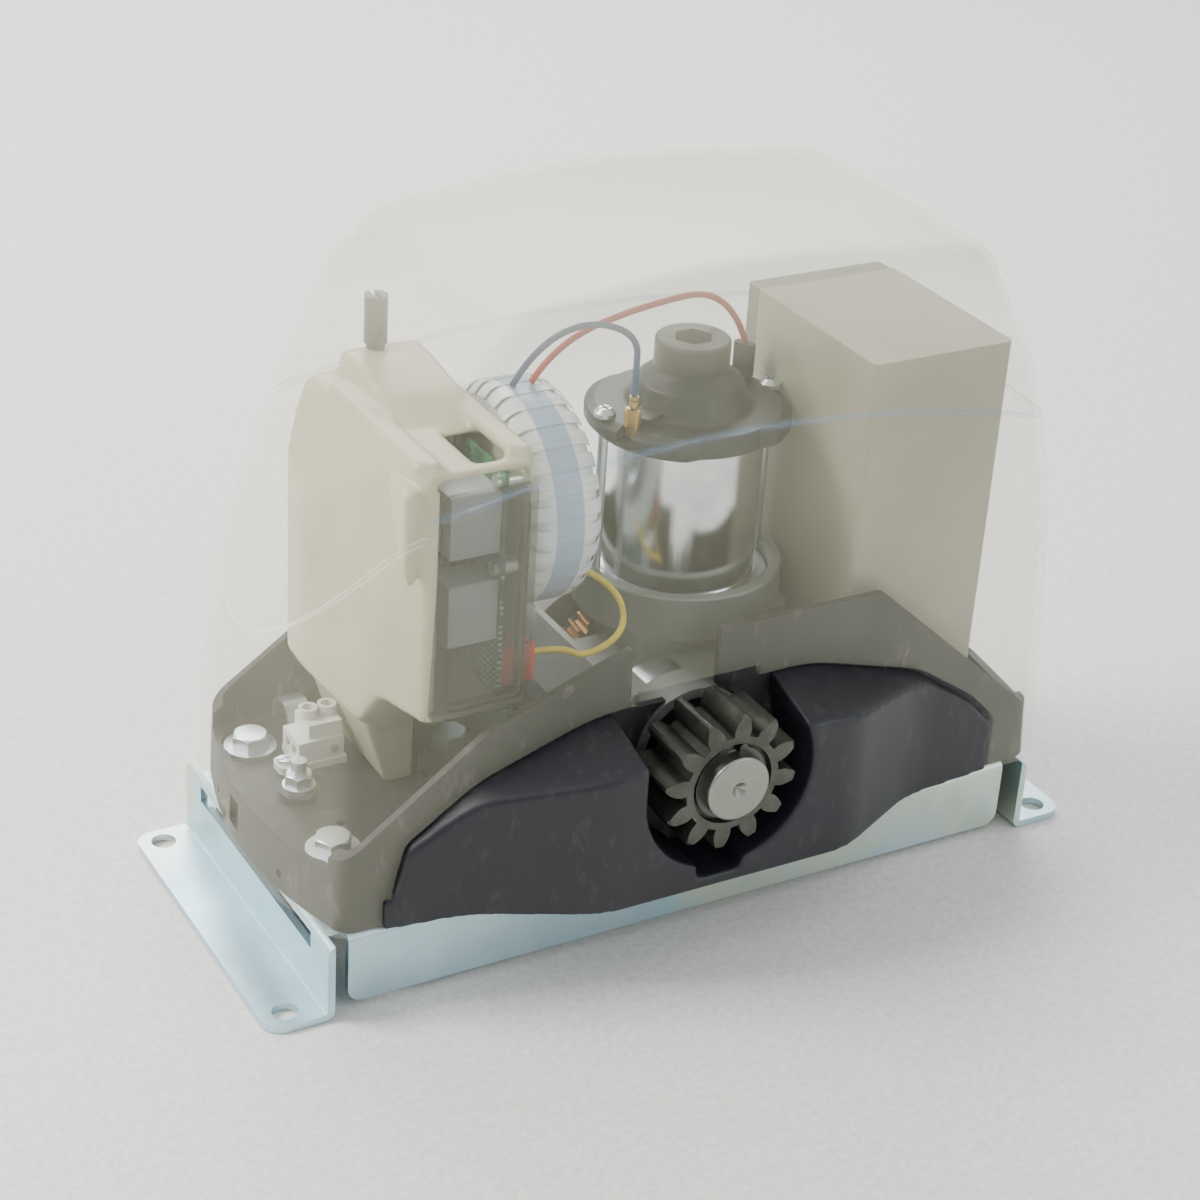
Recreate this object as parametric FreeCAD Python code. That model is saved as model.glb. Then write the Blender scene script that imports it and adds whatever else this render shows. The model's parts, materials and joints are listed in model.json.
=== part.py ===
import FreeCAD, Part
import math
import os

from FreeCAD import Vector

# Sliding gate motor. Millimetres, +X along the gate, +Y away from the rack, +Z up.
# The origin is on the floor, at the centre of the four foundation holes.

# ---------------------------------------------------------------- driving dimensions
# foundation plate
PLATE_T = 3.0
PLATE_LENGTH = 320.0        # over the two end flanges
PLATE_DEPTH = 134.0         # over the two skirts
PLATE_TOP = 33.0
FOOT_OUT = 23.5             # how far each foot reaches past its flange
FOOT_DEPTH = 142.0
FOOT_HOLE_X = 173.5
FOOT_HOLE_Y = 62.3
FOOT_HOLE_R = 5.0
BEND_R = 4.0                # outer radius of every sheet bend
SKIRT_END = 150.0
SKIRT_LIFT = 2.5
WINDOW_HALF = 55.0
WINDOW_LOW = 23.0

# drive: output shaft, worm pair and pinion
OUTPUT_X = -5.0
OUTPUT_Z = 78.4
WHEEL_Y = 7.0               # mid-plane of the worm wheel
WORM_MODULE = 1.5
WHEEL_TEETH = 30
WORM_PITCH_R = 9.5
WHEEL_FACE = 10.0
WORM_BACKLASH = 0.10        # taken off each half of the thread
PINION_MODULE = 4.0
PINION_TEETH = 12
PINION_SHIFT = 0.3
PINION_FRONT = -95.0
PINION_REAR = -69.4
SHAFT_R = 13.5
SHAFT_FRONT = -100.0
SEAL_SHAFT_R = 12.0
SEAL_W = 7.0
BEARING_SHAFT_R = 10.0
BEARING_R = 21.0
BEARING_W = 12.0
FRONT_BEARING_Y = -44.0
REAR_SHAFT_R = 8.5
REAR_BEARING_R = 17.5
REAR_BEARING_W = 10.0
REAR_BEARING_Y = 25.0
WHEEL_SEAT_R = 9.5
KEY_W = 6.0
KEY_DEEP = 3.5
RING_OUT_R = 16.4           # retaining ring in front of the pinion
RING_T = 1.4
RECESS_DEEP = 3.4
WORM_SHAFT_R = 7.5
WORM_TAIL_R = 6.0
LOWER_BUSH_Z = 45.0
LOWER_BUSH_L = 12.0
RUN_FIT = 0.05              # radial clearance of a shaft in its bore
CLEAR = 0.3                 # gap between curved faces of different bodies

# gear case
CASE_LEFT = -40.0
CASE_RIGHT = 58.0
CASE_FRONT = -50.0
CASE_REAR = 38.0
CASE_BOLT_R = 3.0
CASE_POINTS = [(-32, -43), (50, -43), (-32, 31), (50, 31)]
CASE_COVER_T = 6.0
BOSS_R = 25.0
WORM_BORE = 14.0

# motor
CAN_R = 31.0
CAN_WALL = 2.0
CAN_HEIGHT = 62.5
MOTOR_SEAT = 112.0          # top face of the gear case under the motor
MOTOR_PLATE_T = 5.0
MOTOR_PLATE_R = 37.0
SEAT_RING_R = 42.5
SEAT_RING_TOP = 122.5
CAP_R = 41.0
CAP_FLANGE_T = 9.0
CAP_BOSS_R = 15.0
CAP_HEIGHT = 36.0
TIE_SCREW_R = 37.7
BRUSH_ANGLE = 22.0
ARMATURE_R = 24.0
MAGNET_R = 24.8
MAGNET_GAP_ANGLE = 25.0
COMMUTATOR_R = 10.0
BRUSH_H = 7.0
BRUSH_W = 6.0
TOP_BEARING_R = 11.0
TOP_BEARING_W = 7.0
BLADE_T = 0.8
BLADE_R = 36.0

# base tray
TRAY_WALL = 3.2
TRAY_GAP = 0.6              # between tray and cover
TRAY_FLOOR = 53.0           # top of the left floor
TRAY_FLOOR_T = 4.0
TRAY_RIM = 56.0
BATTERY_DECK = 70.0
RIDGE_Z = 126.5
FIX_X = 144.5
FIX_Y = 40.0
FIX_BOLT_R = 4.0
WASHER_R = 10.5
WASHER_T = 1.6
HOLE_CLEAR = 0.5
STUD_X, STUD_Y = -141.0, 0.0
CENTRE_X, CENTRE_Y = -78.0, -2.0
NOTCH_LEFT, NOTCH_RIGHT, NOTCH_LOW = -33.5, 5.0, 101.0
BLOCK_X, BLOCK_Y = -125.0, 24.0
CLAMP_X, CLAMP_Y, CLAMP_T = -122.0, 52.0, 1.5
FOOT_SCREW_Y = (-12, 36)

# cover
COVER_WALL = 3.2
COVER_LEDGE = 1.0           # the lower half stands this much proud of the upper
COVER_FOOT = 33.3
COVER_HALF = 69.5           # half of the cover's depth at its foot
COVER_EDGE_R = 10.0         # rounding all round the crown
EDGE_LOW = 215.0            # only edges above this height are rounded
COVER_LIFT = 265.0
END_BULGE = 18.0            # apex of the left end's plan, before its radius
END_BULGE_RIGHT = 9.0
END_R = 170.0
TRIM_GAP = 0.7              # between cover and pinion guard

# pinion guard
GUARD_CENTRE = -5.0
GUARD_LEFT = -137.0
GUARD_RIGHT = 139.0
GUARD_FRONT = -95.0
GUARD_THIN = 4.0
GUARD_TOP = 103.5
GUARD_SOLE = 46.0           # height of its square lower ends
GUARD_WELL_R = 36.5
GUARD_DRAFT = 0.28          # fall of the top face towards the front

# battery, a sealed 12 V block stood on end
BATTERY_W = 65.0
BATTERY_D = 94.0
BATTERY_H = 151.0
BATTERY_X = 70.0
BATTERY_Y = -54.0
BATTERY_LID = 12.0

# controller and transformer
BOX_LEFT = -131.0
BOX_RIGHT = -71.0
BOX_FRONT = -50.0
BOX_REAR = 50.0
BOX_LOW = 105.0
BOX_TOP = 206.0
BOX_WALL = 2.5
BOARD_T = 1.6
BOARD_X = -82.0
COIL_R = 43.7
COIL_BORE = 14.0
COIL_W = 30.0
COIL_X = -60.0              # inner face of the coil
COIL_Y = 12.0
COIL_Z = 161.0
BRACKET_T = 2.5
PLUG_Y0, PLUG_Y1, PLUG_Z0, PLUG_Z1 = -46.0, -26.0, 112.0, 127.0
POST_X, POST_Y, POST_R = -93.0, 40.0, 4.5
POST_TOP = 238.0

# leads
WIRE_D = 2.6
END_GAP = 0.7               # a slanting end stands this far off its seat at its middle
SLEEVE_UP = 7.0             # how far the sleeve reaches above its blade

# derived places
MOTOR_X = OUTPUT_X + WORM_MODULE * WHEEL_TEETH / 2 + WORM_PITCH_R
MOTOR_Y = WHEEL_Y
CAN_LOW = MOTOR_SEAT + MOTOR_PLATE_T
CAN_TOP = CAN_LOW + CAN_HEIGHT
CAP_TOP = CAN_TOP + CAP_HEIGHT
FIX_POINTS = [(sx * FIX_X, sy * FIX_Y) for sx in (-1, 1) for sy in (-1, 1)]
FOOT_POINTS = [(sx * FOOT_HOLE_X, sy * FOOT_HOLE_Y) for sx in (-1, 1) for sy in (-1, 1)]
TRAY_FRONT = -COVER_HALF + COVER_WALL + TRAY_GAP
TRAY_REAR = -TRAY_FRONT
BOSS_FRONT = TRAY_FRONT + 1.0
WHEEL_BORE = WORM_MODULE * (WHEEL_TEETH / 2 + 1) + 2.5
WHEEL_LOW_Y = WHEEL_Y - WHEEL_FACE / 2
WHEEL_HIGH_Y = WHEEL_Y + WHEEL_FACE / 2
UPPER_BEARING_Z = MOTOR_SEAT - 11.0
TIE_SCREW_DEEP = MOTOR_SEAT - OUTPUT_Z - WHEEL_BORE - 2.1    # ends above the wheel's chamber
CASE_COVER_POINTS = [(OUTPUT_X + 31 * math.cos(math.radians(a)), OUTPUT_Z + 31 * math.sin(math.radians(a)))
                     for a in (28, 152, 208, 332)]
SHAFT_REAR = REAR_BEARING_Y + REAR_BEARING_W + 0.5
CORE_LOW = CAN_LOW + 13
CORE_HIGH = CORE_LOW + 30
COMMUTATOR_Z = CAN_TOP - 1.5
BRUSH_Z = CAN_TOP + 6.0
BRUSH_TILT = (BRUSH_ANGLE, BRUSH_ANGLE + 180)
TOP_BEARING_Z = CAN_TOP + 17.0
PINION_CLEAR_TOP = OUTPUT_Z + PINION_MODULE * (PINION_TEETH / 2 + 1 + PINION_SHIFT) + 2.0
BRACKET_X = COIL_X - BRACKET_T
BOARD_SCREWS = [(BOX_FRONT + 7, BOX_LOW + 56), (BOX_FRONT + 7, BOX_TOP - 10),
                (BOX_REAR - 10, BOX_LOW + 8), (BOX_REAR - 10, BOX_TOP - 10)]
SMALL_SCREWS = [(BLOCK_X - 13.5, BLOCK_Y - 4), (CLAMP_X, CLAMP_Y - 13)]

X = Vector(1, 0, 0)
Y = Vector(0, 1, 0)
Z = Vector(0, 0, 1)


# ---------------------------------------------------------------- shape helpers
def box(x0, x1, y0, y1, z0, z1):
    return Part.makeBox(x1 - x0, y1 - y0, z1 - z0, Vector(x0, y0, z0))


def rod(x, y, z, radius, length, axis=Z):
    return Part.makeCylinder(radius, length, Vector(x, y, z), axis)


def tube(x, y, z, outer, inner, length, axis=Z):
    return rod(x, y, z, outer, length, axis).cut(rod(x, y, z, inner, length, axis))


def rounded_wire(corners, lift):
    """Closed wire through (u, v, radius) corners; lift turns u, v into a point."""
    count = len(corners)
    flat = [Vector(c[0], c[1], 0) for c in corners]
    radii = [c[2] if len(c) > 2 else 0.0 for c in corners]
    runs = []
    for i in range(count):
        to_last = (flat[i - 1] - flat[i]).normalize()
        to_next = (flat[(i + 1) % count] - flat[i]).normalize()
        half = to_last.getAngle(to_next) / 2
        if radii[i] == 0 or half > math.radians(89.9):
            runs.append((flat[i], None, flat[i]))
            continue
        reach = radii[i] / math.tan(half)
        inward = (to_last + to_next).normalize()
        middle = flat[i] + inward * (radii[i] / math.sin(half) - radii[i])
        runs.append((flat[i] + to_last * reach, middle, flat[i] + to_next * reach))
    edges = []
    for i in range(count):
        start, middle, end = runs[i]
        if middle:
            edges.append(Part.Arc(lift(start), lift(middle), lift(end)).toShape())
        following = runs[(i + 1) % count][0]
        if (following - end).Length > 1e-6:
            edges.append(Part.LineSegment(lift(end), lift(following)).toShape())
    return Part.Wire(edges)


def prism(corners, plane, low, high):
    """Outline in plane xy, xz or yz, drawn out from low to high along the third axis."""
    lifts = {"xy": (lambda p: Vector(p.x, p.y, low), Z),
             "xz": (lambda p: Vector(p.x, low, p.y), Y),
             "yz": (lambda p: Vector(low, p.x, p.y), X)}
    lift, direction = lifts[plane]
    return Part.Face(rounded_wire(corners, lift)).extrude(direction * (high - low))


def turned(corners, x, y, z, axis=Z):
    """Full turn of an (r, height, radius) outline about an axis through x, y, z."""
    face = Part.Face(rounded_wire(corners, lambda p: Vector(p.x, 0, p.y)))
    solid = face.revolve(Vector(0, 0, 0), Z, 360)
    if axis == Y:
        solid.rotate(Vector(0, 0, 0), X, -90)
    if axis == X:
        solid.rotate(Vector(0, 0, 0), Y, 90)
    solid.translate(Vector(x, y, z))
    return solid


def hexagon(across, height, x, y, z, axis=Z):
    radius = across / math.sqrt(3)
    corners = [(radius * math.cos(math.radians(60 * i)), radius * math.sin(math.radians(60 * i)))
               for i in range(6)]
    solid = prism(corners, "xy", 0, height)
    dome = turned([(0, 0), (radius * 1.02, 0), (radius * 1.02, height * 0.82),
                   (across / 2 * 0.96, height), (0, height)], 0, 0, 0)
    solid = solid.common(dome)
    if axis == Y:
        solid.rotate(Vector(0, 0, 0), X, -90)
    if axis == X:
        solid.rotate(Vector(0, 0, 0), Y, 90)
    solid.translate(Vector(x, y, z))
    return solid


def drilled(solid, tools):
    for tool in tools:
        solid = solid.cut(tool)
    return solid


def joined(solids):
    whole = solids[0]
    for solid in solids[1:]:
        whole = whole.fuse(solid)
    return whole.removeSplitter()


def group(solids):
    return Part.makeCompound(solids)


def around(points, make):
    return [make(x, y) for x, y in points]


def save(name, shape):
    shape.exportStep("parts/" + name + ".step")
    solids = len(shape.Solids)
    print(f"{name:28s} solids {solids:2d}  volume {shape.Volume / 1000:9.2f} cm3  valid {shape.isValid()}")


# ---------------------------------------------------------------- foundation plate
def foundation_plate():
    end = PLATE_LENGTH / 2
    toe = end + FOOT_OUT
    top = PLATE_TOP
    inner = BEND_R - PLATE_T
    right = [(end, top, BEND_R), (end, PLATE_T, inner), (toe, PLATE_T), (toe, 0),
             (end - PLATE_T, 0, BEND_R), (end - PLATE_T, top - PLATE_T, inner)]
    left = [(-x, *rest) for x, *rest in reversed(right)]
    half = FOOT_DEPTH / 2
    sheet = prism(right + left, "xz", -half, half)
    outline = [(-toe, -half, 8), (toe, -half, 8), (toe, half, 8), (-toe, half, 8)]
    sheet = sheet.common(prism(outline, "xy", 0, top))
    reach = WINDOW_HALF + 5
    for side in (-1, 1):
        lengthwise = sorted((side * reach, side * (half + 1)))
        sheet = sheet.cut(box(-end + PLATE_T, end - PLATE_T, *lengthwise, PLATE_T, top + 1))
        window = sorted((side * (end - PLATE_T - 0.5), side * (end + 1)))
        sheet = sheet.cut(box(*window, -WINDOW_HALF, WINDOW_HALF, WINDOW_LOW, top - PLATE_T))
    depth = PLATE_DEPTH / 2
    channel = [(-depth, top, BEND_R), (depth, top, BEND_R), (depth, SKIRT_LIFT),
               (depth - PLATE_T, SKIRT_LIFT), (depth - PLATE_T, top - PLATE_T, inner),
               (-depth + PLATE_T, top - PLATE_T, inner), (-depth + PLATE_T, SKIRT_LIFT),
               (-depth, SKIRT_LIFT)]
    middle = prism(channel, "yz", -SKIRT_END, SKIRT_END)
    skirt = [(-SKIRT_END, SKIRT_LIFT, 6), (SKIRT_END, SKIRT_LIFT, 6), (SKIRT_END, top), (-SKIRT_END, top)]
    middle = middle.common(prism(skirt, "xz", -depth, depth))
    plate = joined([sheet, middle])
    holes = around(FOOT_POINTS, lambda x, y: rod(x, y, -1, FOOT_HOLE_R, PLATE_T + 2))
    holes += around(FIX_POINTS, lambda x, y: rod(x, y, top - PLATE_T - 1, FIX_BOLT_R + HOLE_CLEAR, PLATE_T + 2))
    holes += around(CASE_POINTS, lambda x, y: rod(x, y, top - PLATE_T - 1, CASE_BOLT_R + HOLE_CLEAR, PLATE_T + 2))
    cable = [(-112, -22, 10), (-66, -22, 10), (-66, 22, 10), (-112, 22, 10)]
    holes.append(prism(cable, "xy", top - PLATE_T - 1, top + 1))
    return drilled(plate, holes)


def hex_bolt(x, y, seat, radius, across, head, length):
    """Bolt whose head sits on height seat and whose shank hangs below it."""
    return joined([hexagon(across, head, x, y, seat), rod(x, y, seat - length, radius, length)])


def hex_nut(x, y, z, radius, across, height):
    return hexagon(across, height, x, y, z).cut(rod(x, y, z - 1, radius + RUN_FIT, height + 2))


# ---------------------------------------------------------------- plan of tray and cover
# height, left corner, right corner, front, rear and corner radius of the cover's outside
COVER_SECTIONS = [
    (PLATE_TOP, -156.0, 167.0, -COVER_HALF, COVER_HALF, 12),
    (110, -150.3, 162.5, -67.6, 68.6, 12),
    (190, -129.5, 150.5, -64.8, 67.4, 12),
    (240, -108.0, 134.0, -63.2, 66.2, 12),
    (300, -80.0, 110.0, -61.0, 64.5, 12),
]
# elevation of the cover's top: x, height, radius
COVER_CROWN = [(-250, 110), (-86, 267, 30), (10, 277.5, 480), (115, 266, 14), (250, 34),
               (250, -60), (-250, -60)]


def plan(left, right, front, rear, radius, inset):
    """Corners of a plan outline with bowed ends, moved inwards by inset."""
    left, right = left + inset, right - inset
    front, rear = front + inset, rear - inset
    middle = (front + rear) / 2
    corner = max(radius - inset, 3.0)
    return [(left, front, corner), (right, front, corner),
            (right + END_BULGE_RIGHT, middle, END_R), (right, rear, corner),
            (left, rear, corner), (left - END_BULGE, middle, END_R)]


def side_form(inset):
    """Solid through the sections: the cover's four leaning sides, without its crown."""
    wires = []
    for height, left, right, front, rear, radius in COVER_SECTIONS:
        corners = plan(left, right, front, rear, radius, inset)
        wires.append(rounded_wire(corners, lambda p: Vector(p.x, p.y, height)))
    return Part.makeLoft(wires, True, False)


def shrunk(corners, inset):
    """Clockwise (u, v, radius) outline moved inwards along the normals of its sides."""
    moved = []
    for i, corner in enumerate(corners):
        here = Vector(corner[0], corner[1], 0)
        last = Vector(corners[i - 1][0], corners[i - 1][1], 0)
        following = Vector(corners[(i + 1) % len(corners)][0], corners[(i + 1) % len(corners)][1], 0)
        n1 = (here - last).normalize().cross(Z)
        n2 = (following - here).normalize().cross(Z)
        point = here + (n1 + n2) * (inset / (1 + n1.dot(n2)))
        moved.append((point.x, point.y) + tuple(corner[2:]))
    return moved


def cover_form(inset, edge_r):
    """Solid of the cover's outside moved inwards, with its top edge rounded."""
    form = side_form(inset).common(prism(shrunk(COVER_CROWN, inset), "xz", -100, 100))
    edges = []
    for edge in form.Edges:
        if edge.BoundBox.ZMin < EDGE_LOW:
            continue
        middle = edge.valueAt((edge.FirstParameter + edge.LastParameter) / 2)
        normals = [f.normalAt(*f.Surface.parameter(middle)) for f in form.ancestorsOfType(edge, Part.Face)]
        if normals[0].getAngle(normals[1]) > math.radians(5):
            edges.append(edge)
    return form.makeFillet(edge_r, edges)


def tray_form(extra, low, high):
    """Solid that follows the cover's sides from inside, between two heights."""
    slab = box(-220, 220, -120, 120, low, high)
    return side_form(COVER_WALL + TRAY_GAP + extra).common(slab)


# ---------------------------------------------------------------- base tray
def side_outline():
    """Front and rear walls of the tray: low ends, two slopes and a flat ridge."""
    low = PLATE_TOP
    return [(-190, low), (190, low), (190, 58.5), (158, 58.5, 3),
            (80, RIDGE_Z, 6), (-34, RIDGE_Z, 12), (-92, 106, 30),
            (-156, 60.5, 4), (-190, 60.5)]


def base_housing():
    low = PLATE_TOP
    outer = tray_form(0, low, RIDGE_Z + 2)
    inner = tray_form(TRAY_WALL, low - 1, RIDGE_Z + 3)
    walls = outer.cut(inner).common(prism(side_outline(), "xz", -80, 80))
    # the low end walls run level with a small step down from the side walls
    for side in (-1, 1):
        rim = sorted((side * 146.0, side * 190.0))
        walls = walls.cut(box(*rim, -56, 56, TRAY_RIM, 90))
    floor = tray_form(TRAY_WALL / 2, TRAY_FLOOR - TRAY_FLOOR_T, TRAY_FLOOR)
    deck_left = CASE_RIGHT + 5
    deck = tray_form(TRAY_WALL / 2, TRAY_FLOOR, BATTERY_DECK)
    deck = deck.common(box(deck_left, BATTERY_X + BATTERY_W + 3, -80, 80, 0, 200))
    hollow = box(deck_left + TRAY_WALL, FIX_X - WASHER_R - 5,
                 TRAY_FRONT + TRAY_WALL, TRAY_REAR - TRAY_WALL,
                 TRAY_FLOOR - TRAY_FLOOR_T - 1, BATTERY_DECK - TRAY_WALL)
    tray = joined([walls, floor, deck]).cut(hollow)
    # well for the gear case
    well = [(CASE_LEFT - 1, CASE_FRONT - 1, 6), (CASE_RIGHT + 1, CASE_FRONT - 1, 6),
            (CASE_RIGHT + 1, CASE_REAR + 13, 6), (CASE_LEFT - 1, CASE_REAR + 13, 6)]
    tray = tray.cut(prism(well, "xy", low - 1, BATTERY_DECK + 5))
    # window in the front wall, above the shaft boss
    tray = tray.cut(box(NOTCH_LEFT, NOTCH_RIGHT, TRAY_FRONT - 1, TRAY_FRONT + TRAY_WALL + 5,
                        NOTCH_LOW, RIDGE_Z + 5))
    tray = tray.cut(rod(OUTPUT_X, TRAY_FRONT - 1, OUTPUT_Z, BOSS_R + 1, TRAY_WALL + 6, Y))
    # bosses that carry the fixing bolts, the locking stud and the centre bolt
    posts = around(FIX_POINTS, lambda x, y: rod(x, y, low, 9, TRAY_FLOOR - low))
    posts.append(rod(STUD_X, STUD_Y, low, 8, TRAY_FLOOR - low + 3))
    posts.append(rod(CENTRE_X, CENTRE_Y, TRAY_FLOOR - TRAY_FLOOR_T, 12, 14))
    tray = joined([tray] + posts)
    # stiffening ribs across the left floor
    ribs = [box(-66, -63, TRAY_FRONT + 1, TRAY_REAR - 1, low, TRAY_FLOOR - 1),
            box(-120, -117, TRAY_FRONT + 1, TRAY_REAR - 1, low, TRAY_FLOOR - 1)]
    tray = joined([tray] + ribs)
    holes = around(FIX_POINTS, lambda x, y: rod(x, y, low - 1, FIX_BOLT_R + HOLE_CLEAR, 40))
    holes.append(rod(STUD_X, STUD_Y, low + 6, 3 + RUN_FIT, 40))
    holes.append(rod(CENTRE_X, CENTRE_Y, TRAY_FLOOR - 8, 4 + RUN_FIT, 40))
    holes.append(rod(-134, -24, TRAY_FLOOR - 6, 2, 10))
    holes += [rod(x, y, TRAY_FLOOR, WASHER_R + 1, 40) for x, y in FIX_POINTS]
    holes += [rod(COIL_X + 8, y, TRAY_FLOOR - 5, 2 + RUN_FIT, 8) for y in FOOT_SCREW_Y]
    holes += [rod(x, y, TRAY_FLOOR - 3.8, 1.5 + RUN_FIT, 8) for x, y in SMALL_SCREWS]
    cable = [(-103, 26, 6), (-85, 26, 6), (-85, 46, 6), (-103, 46, 6)]
    holes.append(prism(cable, "xy", TRAY_FLOOR - 6, TRAY_FLOOR + 1))
    holes.append(box(-175, -150, 7, 17, 38, 50))
    for y in (-28, 36):
        holes.append(rod(-175, y, 40, 1.8, 30, X))
    return drilled(tray, holes)


# ---------------------------------------------------------------- gear case
def gearbox_case():
    low = PLATE_TOP
    body = prism([(CASE_LEFT, CASE_FRONT, 8), (CASE_RIGHT, CASE_FRONT, 8),
                  (CASE_RIGHT, CASE_REAR, 8), (CASE_LEFT, CASE_REAR, 8)], "xy", low, 97)
    slope = [(CASE_LEFT - 1, low - 1), (CASE_RIGHT + 1, low - 1), (CASE_RIGHT + 1, 98),
             (-26, 98), (CASE_LEFT - 1, 80)]
    body = body.common(prism(slope, "xz", CASE_FRONT - 1, CASE_REAR + 1))
    neck = prism([(-10, -28, 3), (62, -28, 8), (62, CASE_REAR, 8), (-10, CASE_REAR, 3)], "xy", 90, MOTOR_SEAT - 4)
    ring = turned([(0, MOTOR_SEAT - 14), (SEAT_RING_R - 6, MOTOR_SEAT - 14), (SEAT_RING_R, MOTOR_SEAT - 8),
                   (SEAT_RING_R, SEAT_RING_TOP, 1.0), (MOTOR_PLATE_R + 0.4, SEAT_RING_TOP, 0.8),
                   (MOTOR_PLATE_R + 0.4, MOTOR_SEAT), (0, MOTOR_SEAT)], MOTOR_X, MOTOR_Y, 0)
    boss = rod(OUTPUT_X, BOSS_FRONT, OUTPUT_Z, BOSS_R, CASE_FRONT - BOSS_FRONT + 1, Y)
    case = joined([body, neck, ring, boss])
    # wheel chamber, open to the rear, and the worm's well
    chamber = rod(OUTPUT_X, WHEEL_LOW_Y - 4, OUTPUT_Z, WHEEL_BORE, CASE_REAR - WHEEL_LOW_Y + 5, Y)
    well = rod(MOTOR_X, MOTOR_Y, LOWER_BUSH_Z + LOWER_BUSH_L, WORM_BORE,
               UPPER_BEARING_Z - 2 - LOWER_BUSH_Z - LOWER_BUSH_L)
    case = drilled(case, [chamber, well])
    case = drilled(case, [
        rod(MOTOR_X, MOTOR_Y, LOWER_BUSH_Z, WORM_TAIL_R + 3, 30),
        rod(MOTOR_X, MOTOR_Y, UPPER_BEARING_Z - 3, REAR_BEARING_R - 3, 30),
        rod(MOTOR_X, MOTOR_Y, UPPER_BEARING_Z, REAR_BEARING_R, 30),
        rod(OUTPUT_X, BOSS_FRONT - 1, OUTPUT_Z, BEARING_R, FRONT_BEARING_Y + BEARING_W - BOSS_FRONT + 1, Y),
        rod(OUTPUT_X, BOSS_FRONT - 1, OUTPUT_Z, BEARING_R - 3, WHEEL_LOW_Y - BOSS_FRONT, Y),
    ])
    # corner bolts pass down pockets cut in the four corners
    for x, y in CASE_POINTS:
        case = case.cut(rod(x, y, low + 12, 7.5, 80))
        case = case.cut(rod(x, y, low - 1, CASE_BOLT_R + HOLE_CLEAR, 20))
    for x, z in CASE_COVER_POINTS:
        case = case.cut(rod(x, CASE_REAR - 10, z, 2, 12, Y))
    # the two long motor screws end in the seat ring
    for side in (-1, 1):
        case = case.cut(rod(MOTOR_X + side * TIE_SCREW_R, MOTOR_Y, MOTOR_SEAT - TIE_SCREW_DEEP - 1, 2 + RUN_FIT, 40))
    return case


def gearbox_cover():
    plate = turned([(0, CASE_REAR), (36, CASE_REAR), (36, CASE_REAR + CASE_COVER_T, 1.5),
                    (0, CASE_REAR + CASE_COVER_T)], OUTPUT_X, 0, OUTPUT_Z, Y)
    # flat along the top, under the seat ring
    plate = plate.common(box(OUTPUT_X - 40, OUTPUT_X + 40, CASE_REAR, CASE_REAR + CASE_COVER_T, 40, 97))
    spigot = rod(OUTPUT_X, REAR_BEARING_Y - 2, OUTPUT_Z, WHEEL_BORE - 0.1, CASE_REAR - REAR_BEARING_Y + 3, Y)
    cover = joined([plate, spigot])
    cover = drilled(cover, [
        rod(OUTPUT_X, REAR_BEARING_Y - 3, OUTPUT_Z, REAR_BEARING_R - 3, 6, Y),
        rod(OUTPUT_X, REAR_BEARING_Y, OUTPUT_Z, REAR_BEARING_R, REAR_BEARING_W + 1.5, Y),
    ])
    # clear the worm's well
    cover = cover.cut(rod(MOTOR_X, MOTOR_Y, 40, WORM_BORE, 80))
    for x, z in CASE_COVER_POINTS:
        cover = cover.cut(rod(x, CASE_REAR - 1, z, 2.5, CASE_COVER_T + 2, Y))
    return cover


def socket_screw(x, y, z, radius, head_r, head, length, axis, sign):
    """Cap screw: seat at x, y, z, shank along sign * axis, hex socket in the head."""
    out = axis * (-sign)
    along = axis * sign
    seat = Vector(x, y, z)
    shank = Part.makeCylinder(radius, length, seat, along)
    cap = Part.makeCylinder(head_r, head, seat, out)
    socket = Part.makeCylinder(head_r * 0.5, head * 0.6, seat + out * (head * 0.45), out)
    return joined([shank, cap]).cut(socket)


def ball_bearing(x, y, z, outer, bore, width, axis):
    """Outer and inner ring of a bearing."""
    wall = (outer - bore) * 0.24
    outer_ring = tube(x, y, z, outer, outer - wall, width, axis)
    inner_ring = tube(x, y, z, bore + wall, bore, width, axis)
    return outer_ring, inner_ring


def bearing_shields(x, y, z, outer, bore, width, axis):
    wall = (outer - bore) * 0.24
    shields = []
    for start in (0.6, width - 1.6):
        at = Vector(x, y, z) + axis * start
        shields.append(tube(at.x, at.y, at.z, outer - wall + 0.2, bore + wall + CLEAR, 1.0, axis))
    return shields


def fixed_ring(x, y, z, outer, bore, width, axis):
    outer_ring = ball_bearing(x, y, z, outer, bore, width, axis)[0]
    return joined([outer_ring] + bearing_shields(x, y, z, outer, bore, width, axis))


def moving_ring(x, y, z, outer, bore, width, axis):
    return ball_bearing(x, y, z, outer, bore, width, axis)[1]


# ---------------------------------------------------------------- gears
def involute(angle):
    return math.tan(angle) - angle


def tooth_half_angle(radius, base_r, at_pitch, pressure):
    return at_pitch + involute(pressure) - involute(math.acos(base_r / radius))


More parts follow.
